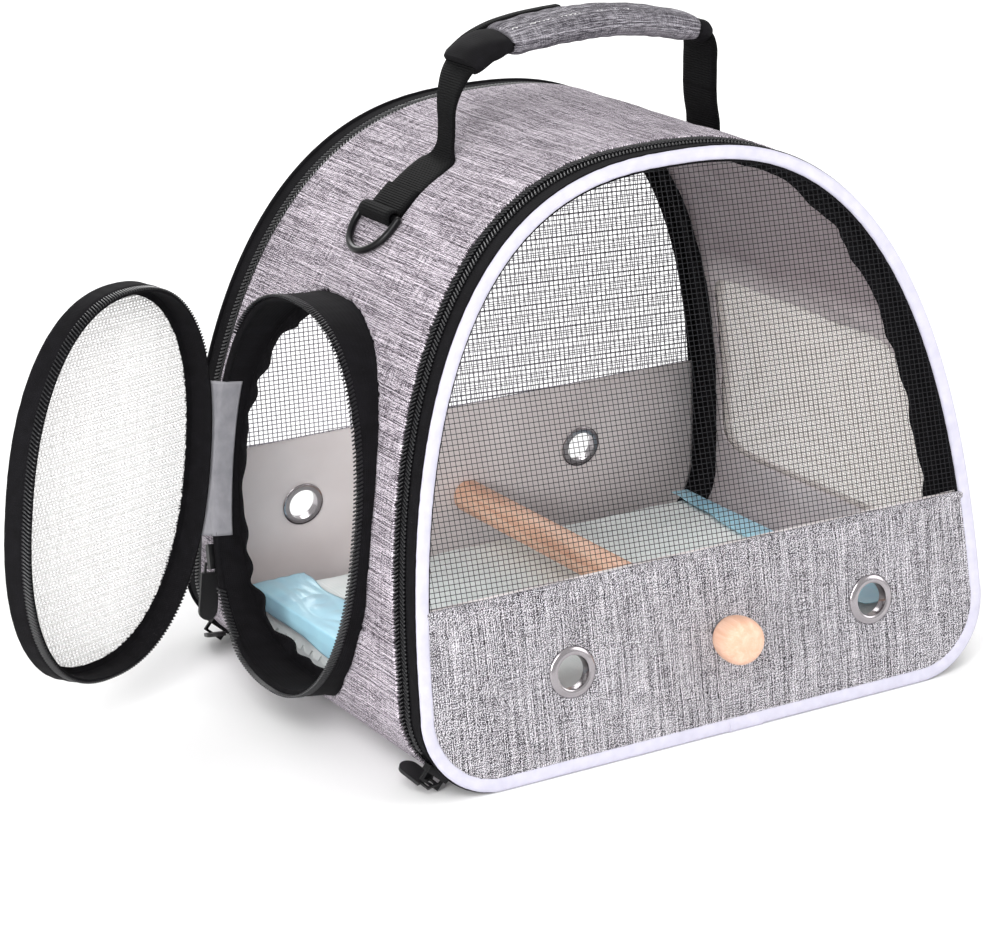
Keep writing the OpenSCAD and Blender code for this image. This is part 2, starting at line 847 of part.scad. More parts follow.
// ---- zip sliders and pulls
slider_l = 11;
slider_w = 5;
slider_t = 3;
crown_t = 1.2;
crown_h = 4.2;
crown_l = slider_l - 0.6;
bar_out = slider_t + crown_h - crown_t / 2;
wire_t = 1;
loop_hole = [3.6, 4];
pull_w = 8.8;
pull_t = 1.6;
door_pull_l = 22;
corner_pull_l = 14;
corner_slider_angle = -48;
door_slider_angle = 208;

// Slider with its crown: x out of the zip, y across it, z along it
module slider() {
    translate([0, -slider_w / 2, -slider_l / 2]) cube([slider_t, slider_w, slider_l]);
    rotate([90, 0, 0]) linear_extrude(crown_t, center = true) difference() {
        translate([slider_t - 0.1, -crown_l / 2]) square([crown_h + 0.1, crown_l]);
        translate([slider_t, crown_t - crown_l / 2]) square([crown_h - crown_t, crown_l - 2 * crown_t]);
    }
}

// Pull along x: a wire loop whose near side lies on the y axis, then a flat tab
module pull(tab_l) {
    far = wire_t / 2 + loop_hole[0];
    translate([0, 0, -wire_t / 2]) linear_extrude(wire_t) difference() {
        translate([-wire_t / 2, -loop_hole[1] / 2 - wire_t]) square([far + 1, loop_hole[1] + 2 * wire_t]);
        translate([wire_t / 2, -loop_hole[1] / 2]) square(loop_hole);
    }
    translate([0, 0, -pull_t / 2]) linear_extrude(pull_t) union() {
        translate([far, -pull_w / 2]) square([tab_l - pull_w / 2, pull_w]);
        translate([far + tab_l - pull_w / 2, 0]) circle(r = pull_w / 2, $fn = 32);
    }
}

// Place on the lower left corner, h outside the teeth
module at_corner(h) {
    foot = corner_point(corner_slider_angle, 0.4);
    p = corner_point(corner_slider_angle, 0.4 - h);
    translate([-p[0], front_y(foot[1], (panel_teeth_at + binding_at) / 2), p[1]]) children();
}

module corner_slider() {
    at_corner(0) rotate([0, 180 + corner_slider_angle, 0]) slider();
}

module front_slider() {
    color("#26272a") corner_slider();
}

module rear_slider() {
    color("#26272a") at_rear() corner_slider();
}

// Pull whose loop goes round the crown's bar and that lies back along the lower edge
module corner_pull() {
    at_corner(bar_out) rotate([0, -18, 106]) translate([-wire_t / 2 - 1.5, 0, 0]) pull(corner_pull_l);
}

module front_pull() {
    color("#232427") corner_pull();
}

module rear_pull() {
    color("#232427") at_rear() corner_pull();
}

// Place at the end of the door's zip: x out of the ring, y down along the zip, z outwards
module at_door_zip() {
    p = door_point(door_slider_angle, 0);
    n = p - door_point(door_slider_angle, 1);
    door_plane() translate([p[0], p[1], 0]) rotate([0, 0, atan2(n[1], n[0])]) children();
}

module door_slider() {
    color("#26272a") at_door_zip() rotate([90, 0, 0]) slider();
}

// Pull whose loop hangs under the crown's bar
module door_pull() {
    n = door_point(door_slider_angle, 0) - door_point(door_slider_angle, 1);
    color("#232427") at_door_zip() translate([slider_t + (crown_h - crown_t) / 2, crown_l / 2 - crown_t - 1.2, 0])
        rotate([0, 0, -atan2(n[1], n[0])]) rotate([90, 0, -90]) pull(door_pull_l);
}

tunnel_shell();
tunnel_lining();
side_window_net();
base_board();
floor_pad();
pad_film();
front_binding();
rear_binding();
front_hoop();
rear_hoop();
front_zip_body();
rear_zip_body();
front_seam_tape();
rear_seam_tape();
front_fold_tape();
rear_fold_tape();
front_trim();
front_net();
front_lower_panel();
front_zip_band();
front_zip_panel();
front_eyelet_left();
front_eyelet_right();
perch();
perch_stud();
knob_washer();
perch_knob();
rear_trim();
rear_net();
rear_lower_panel();
rear_zip_band();
rear_zip_panel();
rear_eyelet_left();
rear_eyelet_right();
door_gusset();
door_seam_tape();
door_zip_body();
door_hinge_strip();
door_slider();
door_zip_leaf();
door_band();
door_piping();
door_net();
door_pull();
strap_left();
strap_right();
d_ring_left();
d_ring_right();
handle_webbing();
handle_grip();
grip_wrap_left();
grip_wrap_right();
front_slider();
rear_slider();
front_pull();
rear_pull();
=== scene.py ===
import math
import bpy
import numpy as np
from mathutils import Matrix, Vector


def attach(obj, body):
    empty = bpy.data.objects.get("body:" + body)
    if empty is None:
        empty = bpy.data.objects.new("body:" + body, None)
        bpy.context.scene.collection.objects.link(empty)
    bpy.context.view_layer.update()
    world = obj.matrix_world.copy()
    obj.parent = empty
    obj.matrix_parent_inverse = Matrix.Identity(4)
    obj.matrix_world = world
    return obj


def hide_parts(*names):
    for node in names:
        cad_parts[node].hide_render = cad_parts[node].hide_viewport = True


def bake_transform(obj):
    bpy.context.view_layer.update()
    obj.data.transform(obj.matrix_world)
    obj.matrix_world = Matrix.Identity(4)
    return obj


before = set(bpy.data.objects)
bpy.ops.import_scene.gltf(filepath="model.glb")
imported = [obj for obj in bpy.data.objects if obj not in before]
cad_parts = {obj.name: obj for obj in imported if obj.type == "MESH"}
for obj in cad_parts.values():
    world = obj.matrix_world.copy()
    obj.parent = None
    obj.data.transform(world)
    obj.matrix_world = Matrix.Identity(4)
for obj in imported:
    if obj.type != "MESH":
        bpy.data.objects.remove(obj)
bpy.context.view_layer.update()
mm = 0.001

# The photograph's camera, found from the outlines of the end panels and the door
cameraSettings = {
    "azimuth": -29.147,
    "elevation": 18.229,
    "roll": -1.9585,
    "distance": 1447.87,
    "target": (-40.704, 0.0, 91.321),
    "focal": 3307.27,
    "imageWidth": 984,
    "sensor": 36.0,
}

# Driving sizes of the carrier, in millimetres, as in the CAD model
body = {
    "halfWidth": 140.0,
    "height": 246.0,
    "depth": 234.4,
    "lean": 7.0,
    "corner": 35.0,
    "foot": 8.0,
    "power": 2.55,
    "shellInset": 0.8,
    "shellThickness": 3.0,
    "bindingStart": -15.5,
    "bindingEnd": -21.5,
    "perchX": 6.0,
    "perchHeight": 43.0,
}
door = {
    "x": -142.0, "y": 1.0, "z": 101.0, "tilt": 7.5, "open": 58.0,
    "halfY": 68.0, "halfZ": 85.0, "power": 2.3, "hingeIn": 2.7, "hingeLevel": 5.1,
}
leanSin, leanCos = math.sin(math.radians(body["lean"])), math.cos(math.radians(body["lean"]))
leanTan = leanSin / leanCos


def linked(name, data):
    item = bpy.data.objects.new(name, data)
    bpy.context.scene.collection.objects.link(item)
    return item


def makeCamera(c):
    az, el, roll = (math.radians(c[k]) for k in ("azimuth", "elevation", "roll"))
    back = Vector((math.sin(az) * math.cos(el), -math.cos(az) * math.cos(el), math.sin(el)))
    right = Vector((math.cos(az), math.sin(az), 0))
    up = back.cross(right)
    side = right * math.cos(roll) + up * math.sin(roll)
    top = up * math.cos(roll) - right * math.sin(roll)
    data = bpy.data.cameras.new("photoCamera")
    data.sensor_fit = "HORIZONTAL"
    data.sensor_width = c["sensor"]
    data.lens = c["focal"] / c["imageWidth"] * c["sensor"]
    data.clip_start, data.clip_end = 0.01, 20
    camera = linked("photoCamera", data)
    turn = Matrix((side, top, back)).transposed().to_4x4()
    place = (Vector(c["target"]) + back * c["distance"]) * mm
    camera.matrix_world = Matrix.Translation(place) @ turn
    bpy.context.scene.camera = camera


makeCamera(cameraSettings)
print("camera done")


# Tables of points

def arcLength(line):
    return np.r_[0, np.cumsum(np.linalg.norm(np.diff(line, axis=0), axis=1))]


def unit(rows):
    return rows / np.linalg.norm(rows, axis=1)[:, None]


def columnsAt(at, length, table):
    return np.array([np.interp(at, length, column) for column in table.T]).T


def pairGrid(first, second):
    return np.stack(np.broadcast_arrays(first, second), -1)


def resampled(line, normals, count):
    length = arcLength(line)
    at = np.arange(count) / count * length[-1]
    return columnsAt(at, length, line), unit(columnsAt(at, length, normals)), at, length[-1]


# Outline of the body and of the door

def outlineTable(count):
    a, rise, power = body["halfWidth"], body["height"] - body["foot"], body["power"]
    foot, corner = body["foot"], body["corner"]
    q = np.radians(np.linspace(-90, 0, 200))
    arc = np.c_[a - corner + corner * np.cos(q), corner + corner * np.sin(q)]
    arcNormal = np.c_[np.cos(q), np.sin(q)]
    first = math.asin(((corner + 4 - foot) / rise) ** (power / 2))
    t = np.linspace(first, math.pi / 2, 1200)
    c, s = np.clip(np.cos(t), 0, 1), np.sin(t)
    arch = np.c_[a * c ** (2 / power), foot + rise * s ** (2 / power)]
    archNormal = unit(np.c_[c ** (2 - 2 / power) / a, s ** (2 - 2 / power) / rise])
    half, normal = np.r_[arc, arch], np.r_[arcNormal, archNormal]
    flip = np.array([-1, 1])
    line = np.r_[half, half[-2::-1] * flip, half[:1]]
    normals = np.r_[normal, normal[-2::-1] * flip, normal[:1]]
    return resampled(line, normals, count)


outlinePoints, outlineNormals, outlineAt, outlineLength = outlineTable(480)


def outline(inset):
    return outlinePoints - np.reshape(inset, (-1, 1)) * outlineNormals


def frontY(z, w):
    return -body["depth"] / 2 + z * leanTan - w / leanCos


def endRing(inset, w):
    p = outline(inset)
    return np.c_[p[:, 0], frontY(p[:, 1], w), p[:, 1]]


def planePoint(x, v, w):
    x, v, w = np.broadcast_arrays(x, v, w)
    return np.stack([x, -body["depth"] / 2 + v * leanSin - w * leanCos, v * leanCos + w * leanSin], -1)


def panelRing(inset, w):
    p = outline(inset)
    return planePoint(p[:, 0], p[:, 1] / leanCos, w)


def ovalTable(count):
    e = 2 / door["power"]
    q = np.linspace(0, 2 * math.pi, 4001)
    c, s = np.cos(q), np.sin(q)
    line = np.c_[door["halfY"] * np.sign(c) * abs(c) ** e, door["halfZ"] * np.sign(s) * abs(s) ** e]
    normal = unit(np.c_[np.sign(c) * abs(c) ** (2 - e) / door["halfY"], np.sign(s) * abs(s) ** (2 - e) / door["halfZ"]])
    return resampled(line, normal, count)


ovalPoints, ovalNormals, ovalAt, ovalLength = ovalTable(300)
tilt = math.radians(door["tilt"])
doorAxes = np.array([[0, -1, 0], [math.sin(tilt), 0, math.cos(tilt)], [-math.cos(tilt), 0, math.sin(tilt)]])
doorMiddle = np.array([door["x"], door["y"], door["z"]])


def doorPoint(local, leaf=False):
    local = np.array(local, float)
    if leaf:
        turn = math.radians(door["open"])
        hinge = np.array([door["hingeIn"] - door["halfY"], 0, door["hingeLevel"]])
        q = local - hinge
        local = np.stack([q[..., 0] * math.cos(turn) - q[..., 2] * math.sin(turn), q[..., 1],
                          q[..., 0] * math.sin(turn) + q[..., 2] * math.cos(turn)], -1) + hinge
    return doorMiddle + local @ doorAxes


def doorRing(inset, w, leaf=False):
    p = ovalPoints - np.reshape(inset, (-1, 1)) * ovalNormals
    return doorPoint(np.c_[p, np.broadcast_to(w, len(p))], leaf)


# Meshes

def meshObject(name, points, faces, uv=None, sharp=35.0):
    mesh = bpy.data.meshes.new(name)
    mesh.from_pydata((np.asarray(points).reshape(-1, 3) * mm).tolist(), [], faces)
    if uv is not None:
        layer = mesh.uv_layers.new(name="cloth")
        index = np.zeros(len(mesh.loops), int)
        mesh.loops.foreach_get("vertex_index", index)
        layer.data.foreach_set("uv", (np.asarray(uv).reshape(-1, 2)[index] * mm).astype(np.float32).ravel())
    mesh.validate()
    mesh.shade_smooth()
    if sharp:
        mesh.set_sharp_from_angle(angle=math.radians(sharp))
    return linked(name, mesh)


def gridFaces(rows, columns, closeRows=False, closeColumns=False, flip=False):
    i = np.arange(rows if closeRows else rows - 1)[:, None]
    j = np.arange(columns if closeColumns else columns - 1)[None, :]
    a = i * columns + j
    b = i * columns + (j + 1) % columns
    c = ((i + 1) % rows) * columns + (j + 1) % columns
    d = ((i + 1) % rows) * columns + j
    return np.stack([d, c, b, a] if flip else [a, b, c, d], -1).reshape(-1, 4)


def endCaps(rows, columns, flip=False):
    caps = [list(range(columns)), [rows * columns - 1 - j for j in range(columns)]]
    return [cap[::-1] for cap in caps] if flip else caps


def cappedFaces(rows, columns, flip=False):
    return gridFaces(rows, columns, closeColumns=True, flip=flip).tolist() + endCaps(rows, columns, flip)


def loopObject(name, rings, at, flip=False, sharp=35.0, partOf=None):
    rings = np.stack(rings, 1)
    uv = pairGrid(at[:, None], arcLength(rings[0])[None, :])
    if partOf is None:
        return meshObject(name, rings, gridFaces(*rings.shape[:2], True, True, flip).tolist(), uv, sharp)
    rings, uv = rings[partOf], uv[partOf]
    return meshObject(name, rings, cappedFaces(*rings.shape[:2], flip), uv, sharp)


def mirror(piece):
    piece.data.transform(Matrix.Scale(-1, 4, (0, 1, 0)))
    piece.data.flip_normals()
    return piece


def mirroredCopy(piece, name):
    copy = piece.copy()
    copy.data = piece.data.copy()
    copy.name = copy.data.name = name
    bpy.context.scene.collection.objects.link(copy)
    return mirror(copy)


def baked(piece):
    deps = bpy.context.evaluated_depsgraph_get()
    mesh = bpy.data.meshes.new_from_object(piece.evaluated_get(deps), preserve_all_data_layers=True,
                                           depsgraph=deps)
    piece.modifiers.clear()
    old = piece.data
    piece.data = mesh
    bpy.data.meshes.remove(old)
    return piece


# Gives a sheet its thickness in millimetres; offset -1 is behind its face, 0 is on both sides
def thicken(piece, thickness, offset=-1.0):
    solid = piece.modifiers.new("thickness", "SOLIDIFY")
    solid.thickness = thickness * mm
    solid.offset = offset
    solid.use_even_offset = False
    return baked(piece)


# Seeded sum of sine waves in random directions, from 0.35 to 1 times the longest length
def waves(seed, u, v, longest, count):
    rng = np.random.default_rng(seed)
    total = np.zeros(np.broadcast(u, v).shape)
    for k in range(count):
        turn = rng.uniform(0, 2 * math.pi)
        step = 2 * math.pi / (longest * rng.uniform(0.35, 1.0))
        phase = rng.uniform(0, 2 * math.pi)
        total = total + np.sin(step * (u * math.cos(turn) + v * math.sin(turn)) + phase)
    return total / math.sqrt(count)


# Materials

def srgb(text):
    c = [int(text[i:i + 2], 16) / 255 for i in (1, 3, 5)]
    return [x / 12.92 if x <= 0.04045 else ((x + 0.055) / 1.055) ** 2.4 for x in c] + [1.0]


def add(tree, kind, settings=None, **inputs):
    node = tree.nodes.new(kind)
    for key, value in (settings or {}).items():
        setattr(node, key, value)
    for key, value in inputs.items():
        numbered = key[0] == "i" and key[1:].isdigit()
        socket = node.inputs[int(key[1:]) if numbered else key.replace("_", " ")]
        if isinstance(value, bpy.types.NodeSocket):
            tree.links.new(value, socket)
        else:
            socket.default_value = value
    return node


def newMaterial(name, **shader):
    material = bpy.data.materials.new(name)
    material.use_nodes = True
    tree = material.node_tree
    tree.nodes.clear()
    bsdf = add(tree, "ShaderNodeBsdfPrincipled", **shader)
    add(tree, "ShaderNodeOutputMaterial", Surface=bsdf.outputs[0])
    return material, tree, bsdf


def clothCoords(tree):
    return add(tree, "ShaderNodeUVMap", {"uv_map": "cloth"}).outputs[0]


def scaled(tree, vector, x, y, z=1.0):
    return add(tree, "ShaderNodeMapping", Vector=vector, Scale=(x, y, z)).outputs[0]


def ramp(tree, value, stops):
    node = add(tree, "ShaderNodeValToRGB", Fac=value)
    band = node.color_ramp
    while len(band.elements) < len(stops):
        band.elements.new(0.5)
    for element, (place, colour) in zip(band.elements, stops):
        element.position = place
        element.color = srgb(colour)
    return node.outputs[0]


def bump(tree, bsdf, height, strength, distance):
    node = add(tree, "ShaderNodeBump", Strength=strength, Distance=distance * mm, Height=height)
    tree.links.new(node.outputs[0], bsdf.inputs["Normal"])


def maths(tree, kind, a, b=0.0, c=0.0):
    return add(tree, "ShaderNodeMath", {"operation": kind}, i0=a, i1=b, i2=c).outputs[0]


def mixed(tree, factor, a, b):
    node = add(tree, "ShaderNodeMix", {"data_type": "RGBA"}, i0=factor, i6=a, i7=b)
    return node.outputs[2]


# Shears the coordinates, so that the rows of a noise don't line up into bands
def staggered(tree, vector, across, along):
    shear = 0.618
    parts = add(tree, "ShaderNodeSeparateXYZ", Vector=vector).outputs
    joined = add(tree, "ShaderNodeCombineXYZ")
    tree.links.new(parts[across], joined.inputs[across])
    tree.links.new(maths(tree, "MULTIPLY_ADD", parts[across], shear, parts[along]), joined.inputs[along])
    return joined.outputs[0]


# Heather polyester: plain weave of 0.45 mm slub threads in greys; the sizes across and along the thread in
# millimetres are those of streaks, grain, dashes, crossing threads and slow patches

def heatherMaterial(name, alongU, weights, stops):
    material, tree, bsdf = newMaterial(name, Roughness=0.9, Specular_IOR_Level=0.15)
    uv = clothCoords(tree)
    sizes = ((0.45, 32.0), (0.4, 0.42), (0.42, 3.4), (12.0, 0.5), (38.0, 55.0))
    value = 0.5 - 0.5 * sum(weights)
    for (across, along), weight in zip(sizes, weights):
        x, y = (1000 / along, 1000 / across) if alongU else (1000 / across, 1000 / along)
        place = staggered(tree, scaled(tree, uv, x, y), int(alongU), int(not alongU))
        noise = add(tree, "ShaderNodeTexNoise", {"noise_dimensions": "2D"}, Vector=place, Scale=1.0, Detail=0.5)
        value = maths(tree, "MULTIPLY_ADD", noise.outputs[0], weight, value)
    colour = ramp(tree, value, stops)
    tree.links.new(colour, bsdf.inputs["Base Color"])
    bump(tree, bsdf, value, 0.5, 0.3)
    return material


# Smooth woven cloth or tape: a fine thread bump over one colour with slow variation, and ribs across a webbing;
# thread, ribs and mottle are in millimetres
def clothMaterial(name, colours, rough=0.7, thread=0.5, depth=0.12, ribs=0.0, mottle=6.0, shine=0.15, top=None):
    material, tree, bsdf = newMaterial(name, Roughness=rough, Specular_IOR_Level=shine)
    uv = clothCoords(tree)
    slow = add(tree, "ShaderNodeTexNoise", Vector=uv, Scale=1000 / mottle, Detail=3.0)
    colour = ramp(tree, slow.outputs[0], [(0.3, colours[0]), (0.7, colours[1])])
    # Painted shade: with top given, the colour turns to the darker top colour from 140 to 158 mm up, for the shade
    # above the window
    if top:
        place = add(tree, "ShaderNodeTexCoord").outputs["Object"]
        height = add(tree, "ShaderNodeSeparateXYZ", Vector=place).outputs[2]
        rise = add(tree, "ShaderNodeMapRange", Value=height, From_Min=0.140, From_Max=0.158).outputs[0]
        colour = mixed(tree, rise, colour, srgb(top))
    tree.links.new(colour, bsdf.inputs["Base Color"])
    scale = 100 * math.pi / thread
    warp = add(tree, "ShaderNodeTexWave", {"bands_direction": "X"}, Vector=uv, Scale=scale, Distortion=0.6)
    weft = add(tree, "ShaderNodeTexWave", {"bands_direction": "Y"}, Vector=uv, Scale=scale, Distortion=0.6)
    height = maths(tree, "MULTIPLY", warp.outputs[1], weft.outputs[1])
    if ribs:
        rib = add(tree, "ShaderNodeTexWave", {"bands_direction": "Y"}, Vector=uv, Scale=100 * math.pi / ribs)
        height = maths(tree, "ADD", height, maths(tree, "MULTIPLY", rib.outputs[1], 1.5))
    bump(tree, bsdf, height, 0.6, depth)
    return material


# Plastic, metal and rubber: one colour with a fine grain, given in millimetres
def plainMaterial(name, colour, rough, metal=0.0, grain=1.5, depth=0.03, **shader):
    material, tree, bsdf = newMaterial(name, Roughness=rough, Metallic=metal, **shader)
    place = add(tree, "ShaderNodeTexCoord").outputs["Object"]
    noise = add(tree, "ShaderNodeTexNoise", Vector=place, Scale=1000 / grain, Detail=4.0)
    light = [min(1.0, c * 1.18 + 0.004) for c in srgb(colour)[:3]] + [1]
    dark = [c * 0.84 for c in srgb(colour)[:3]] + [1]
    tree.links.new(mixed(tree, noise.outputs[0], dark, light), bsdf.inputs["Base Color"])
    bump(tree, bsdf, noise.outputs[0], 0.3, depth)
    return material


# Turned pale wood: long grain along y in rings of about 4 mm, with fibres 0.5 mm wide and 17 mm long
def woodMaterial(name, colours):
    material, tree, bsdf = newMaterial(name, Roughness=0.52)
    place = add(tree, "ShaderNodeTexCoord").outputs["Object"]
    rings = add(tree, "ShaderNodeTexNoise", Vector=scaled(tree, place, 260, 14, 260), Scale=1.0, Detail=4.0,
                Distortion=0.6)
    fibre = add(tree, "ShaderNodeTexNoise", Vector=scaled(tree, place, 2200, 60, 2200), Scale=1.0, Detail=2.0)
    value = maths(tree, "MULTIPLY_ADD", fibre.outputs[0], 0.35, maths(tree, "MULTIPLY", rings.outputs[0], 0.65))
    tree.links.new(ramp(tree, value, [(0.36, colours[0]), (0.5, colours[1]), (0.64, colours[2])]),
                   bsdf.inputs["Base Color"])
    bump(tree, bsdf, value, 0.25, 0.12)
    return material


heather = heatherMaterial("heatherWall", True, (0.6, 1.0, 0.35, 0.3, 0.08), [
    (0.33, "#2b272c"), (0.43, "#5f5860"), (0.50, "#7e767f"), (0.57, "#a39aa3"), (0.67, "#e8e0e8")])
heatherPanel = heatherMaterial("heatherPanel", False, (0.62, 1.5, 0.3, 0.25, 0.04), [
    (0.39, "#0e0d10"), (0.45, "#3c393f"), (0.50, "#605c63"), (0.56, "#8f8b92"), (0.62, "#dedbe0")])
heatherGrip = heatherMaterial("heatherGrip", True, (0.6, 0.4, 0.5, 0.2, 0.2), [
    (0.32, "#29272c"), (0.43, "#4e4b51"), (0.50, "#625f65"), (0.57, "#7b787e"), (0.69, "#aeabb1")])
linen = {"rough": 0.55, "thread": 0.5, "depth": 0.04, "mottle": 40, "shine": 0.3}
lining = clothMaterial("greyLining", ("#e0d8d8", "#ece5e5"), **linen)
# The tube's lining is the grey lining painted darker as painted shade, for the dimmer light inside the tube, and darker
# still above the window, painted shade where the double layer lets less light through
tubeLining = clothMaterial("tubeLining", ("#ccc2c4", "#d8cfd0"), top="#9c9194", **linen)
blackTape = clothMaterial("blackTape", ("#0c0b0d", "#131215"), rough=0.85, thread=0.9, depth=0.15, shine=0.12)
webbing = clothMaterial("blackWebbing", ("#060607", "#0b0b0c"), rough=0.75, thread=1.1, depth=0.25, ribs=1.1, shine=0.1)
whitePiping = clothMaterial("whitePiping", ("#bdbbca", "#c8c6d4"), rough=0.7, thread=0.6, depth=0.08)
hingeCloth = clothMaterial("greyHingeCloth", ("#7d7c81", "#8e8d92"), rough=0.5, thread=0.6, depth=0.05, shine=0.4)
padCloth = clothMaterial("padFleece", ("#eaf1f0", "#f4f8f7"), rough=0.9, thread=1.6, depth=0.15, mottle=12)
coilPlastic = plainMaterial("zipCoil", "#0f0f12", 0.28, depth=0.01, Specular_IOR_Level=0.55)
netThread = plainMaterial("blackNetThread", "#1b1b1e", 0.6, depth=0.02, Specular_IOR_Level=0.2)
# Painted light: the rear net is black like the front one; its threads are painted pale grey for its bright look against
# the light behind it
rearThreadPaintedLight = plainMaterial("rearNetThread", "#a5a1ab", 0.6, depth=0.02, Specular_IOR_Level=0.2)
whiteThread = plainMaterial("whiteNetThread", "#f6f3f1", 0.7, depth=0.02)
warmThread = plainMaterial("windowNetThread", "#d9d2ce", 0.7, depth=0.02)
nickel = plainMaterial("nickelPlate", "#a39ea1", 0.22, metal=1.0, grain=6, depth=0.01)
blackMetal = plainMaterial("blackMetal", "#101012", 0.32, metal=0.5, grain=4, depth=0.015)
tabRubber = plainMaterial("pullTab", "#0c0c0e", 0.5, grain=0.8, depth=0.05)
steel = plainMaterial("steel", "#9a9ca1", 0.3, metal=1.0, grain=3, depth=0.01)
wood = woodMaterial("paleWood", ("#dba78c", "#ebbfa4", "#f2cfb8"))
knobWood = woodMaterial("knobWood", ("#d9a98e", "#e1b59b", "#e9c4ad"))
boardPlastic = plainMaterial("baseBoard", "#a09a9c", 0.6, depth=0.05)
blueFilm = plainMaterial("blueFilm", "#b0e2ff", 0.3, grain=20, depth=0.06, Coat_Weight=0.3, Coat_Roughness=0.2)
print("materials done")


def finishPiece(piece, material, bodyName, replaced=()):
    piece.data.materials.clear()
    piece.data.materials.append(material)
    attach(piece, bodyName)
    if replaced:
        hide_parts(*replaced)
    return piece


# Geometry nodes

def newTree(name, sockets):
    tree = bpy.data.node_groups.new(name, "GeometryNodeTree")
    tree.interface.new_socket("Geometry", in_out="INPUT", socket_type="NodeSocketGeometry")
    for label, kind in sockets.items():
        tree.interface.new_socket(label, in_out="INPUT", socket_type="NodeSocket" + kind)
    tree.interface.new_socket("Geometry", in_out="OUTPUT", socket_type="NodeSocketGeometry")
    return tree, add(tree, "NodeGroupInput").outputs, add(tree, "NodeGroupOutput").inputs


# Sweeps a round thread along every edge line
def threadTree():
    tree, start, end = newTree("threadsAlongLines", {"Thread Radius": "Float", "Sides": "Int", "Material": "Material"})
    line = add(tree, "GeometryNodeMeshToCurve", i0=start[0])
    circle = add(tree, "GeometryNodeCurvePrimitiveCircle", Resolution=start[2], Radius=start[1])
    sweep = add(tree, "GeometryNodeCurveToMesh", Curve=line.outputs[0], Profile_Curve=circle.outputs[0],
                Fill_Caps=True)
    paint = add(tree, "GeometryNodeSetMaterial", Geometry=sweep.outputs[0], Material=start[3])
    tree.links.new(paint.outputs[0], end[0])
    return tree


# Sets copies of one small object at a fixed spacing along edge lines, turned to the line and to its side vector
def repeatTree():
    tree, start, end = newTree("copiesAlongLines", {"Copy": "Object", "Spacing": "Float", "Material": "Material"})
    line = add(tree, "GeometryNodeMeshToCurve", i0=start[0])
    even = add(tree, "GeometryNodeResampleCurve", Curve=line.outputs[0])
    if "Mode" in even.inputs:
        even.inputs["Mode"].default_value = "Length"
    else:
        even.mode = "LENGTH"
    tree.links.new(start[2], even.inputs["Length"])
    tangent = add(tree, "GeometryNodeInputTangent")
    side = add(tree, "GeometryNodeInputNamedAttribute", {"data_type": "FLOAT_VECTOR"}, Name="side")
    first = add(tree, "FunctionNodeAlignRotationToVector", {"axis": "Z"}, Vector=side.outputs[0])
    second = add(tree, "FunctionNodeAlignRotationToVector", {"axis": "X", "pivot_axis": "Z"},
                 Rotation=first.outputs[0], Vector=tangent.outputs[0])
    item = add(tree, "GeometryNodeObjectInfo", {"transform_space": "ORIGINAL"}, Object=start[1])
    copies = add(tree, "GeometryNodeInstanceOnPoints", Points=even.outputs[0], Instance=item.outputs["Geometry"],
                 Rotation=second.outputs[0])
    real = add(tree, "GeometryNodeRealizeInstances", i0=copies.outputs[0])
    paint = add(tree, "GeometryNodeSetMaterial", Geometry=real.outputs[0], Material=start[3])
    tree.links.new(paint.outputs[0], end[0])
    return tree


threads, copies = threadTree(), repeatTree()


def linesObject(name, lines, sides=None):
    points = np.concatenate(lines)
    edges, base = [], 0
    for line in lines:
        edges += [(base + i, base + i + 1) for i in range(len(line) - 1)]
        base += len(line)
    mesh = bpy.data.meshes.new(name)
    mesh.from_pydata((points * mm).tolist(), edges, [])
    if sides is not None:
        layer = mesh.attributes.new("side", "FLOAT_VECTOR", "POINT")
        layer.data.foreach_set("vector", np.concatenate(sides).astype(np.float32).ravel())
    return linked(name, mesh)


def runTree(piece, tree, **values):
    modifier = piece.modifiers.new("nodes", "NODES")
    modifier.node_group = tree
    for item in tree.interface.items_tree:
        if item.in_out == "INPUT" and item.name.replace(" ", "") in values:
            modifier[item.identifier] = values[item.name.replace(" ", "")]
    baked(piece)
    piece.data.shade_smooth()
    return piece


def threadNet(name, lines, radius, material, sides=5):
    piece = linesObject(name, lines)
    return runTree(piece, threads, ThreadRadius=radius * mm, Sides=sides, Material=material)


def alongLines(name, lines, sides, item, spacing, material):
    piece = linesObject(name, lines, sides)
    return runTree(piece, copies, Copy=item, Spacing=spacing * mm, Material=material)


def ringPart(level, low):
    return np.flatnonzero(outline(level)[:, 1] > low)


# Indices where it holds, in one run round the closed outline
def unbroken(holds):
    keep = np.flatnonzero(holds)
    jump = np.flatnonzero(np.diff(keep) > 1)
    return np.roll(keep, -(jump[0] + 1)) if len(jump) else keep


def arcLine(inset, w, low, shift=0.0, panel=False):
    count = len(outlineAt)
    place = np.arange(count) + shift / (outlineLength / count)
    lower = np.floor(place).astype(int)
    part = (place - lower)[:, None]
    p, n = (table[lower % count] * (1 - part) + table[(lower + 1) % count] * part
            for table in (outlinePoints, outlineNormals))
    p = p - inset * n
    points = planePoint(p[:, 0], p[:, 1] / leanCos, w) if panel else np.c_[p[:, 0], frontY(p[:, 1], w), p[:, 1]]
    side = np.c_[n[:, 0], 0 * n[:, 0], n[:, 1]]
    keep = unbroken(p[:, 1] > low)
    return points[keep], side[keep]


# Fabric tube between the two end panels

shellSettings = {"across": 96, "wave": 0.35, "waveLength": 60.0, "seed": 3, "thickness": 2.0}
# A level is 1 on the edge of a hole and less inside; this one is for points that aren't near it
farOutside = 9


def ovalLevel(points, grow=0.0):
    local = (points - doorMiddle) @ doorAxes.T
    level = ((abs(local[..., 0]) / (door["halfY"] + grow)) ** door["power"]
             + (abs(local[..., 1]) / (door["halfZ"] + grow)) ** door["power"]) ** (1 / door["power"])
    level[(points[..., 0] > -60) | (local[..., 2] < -60)] = farOutside
    return level, local


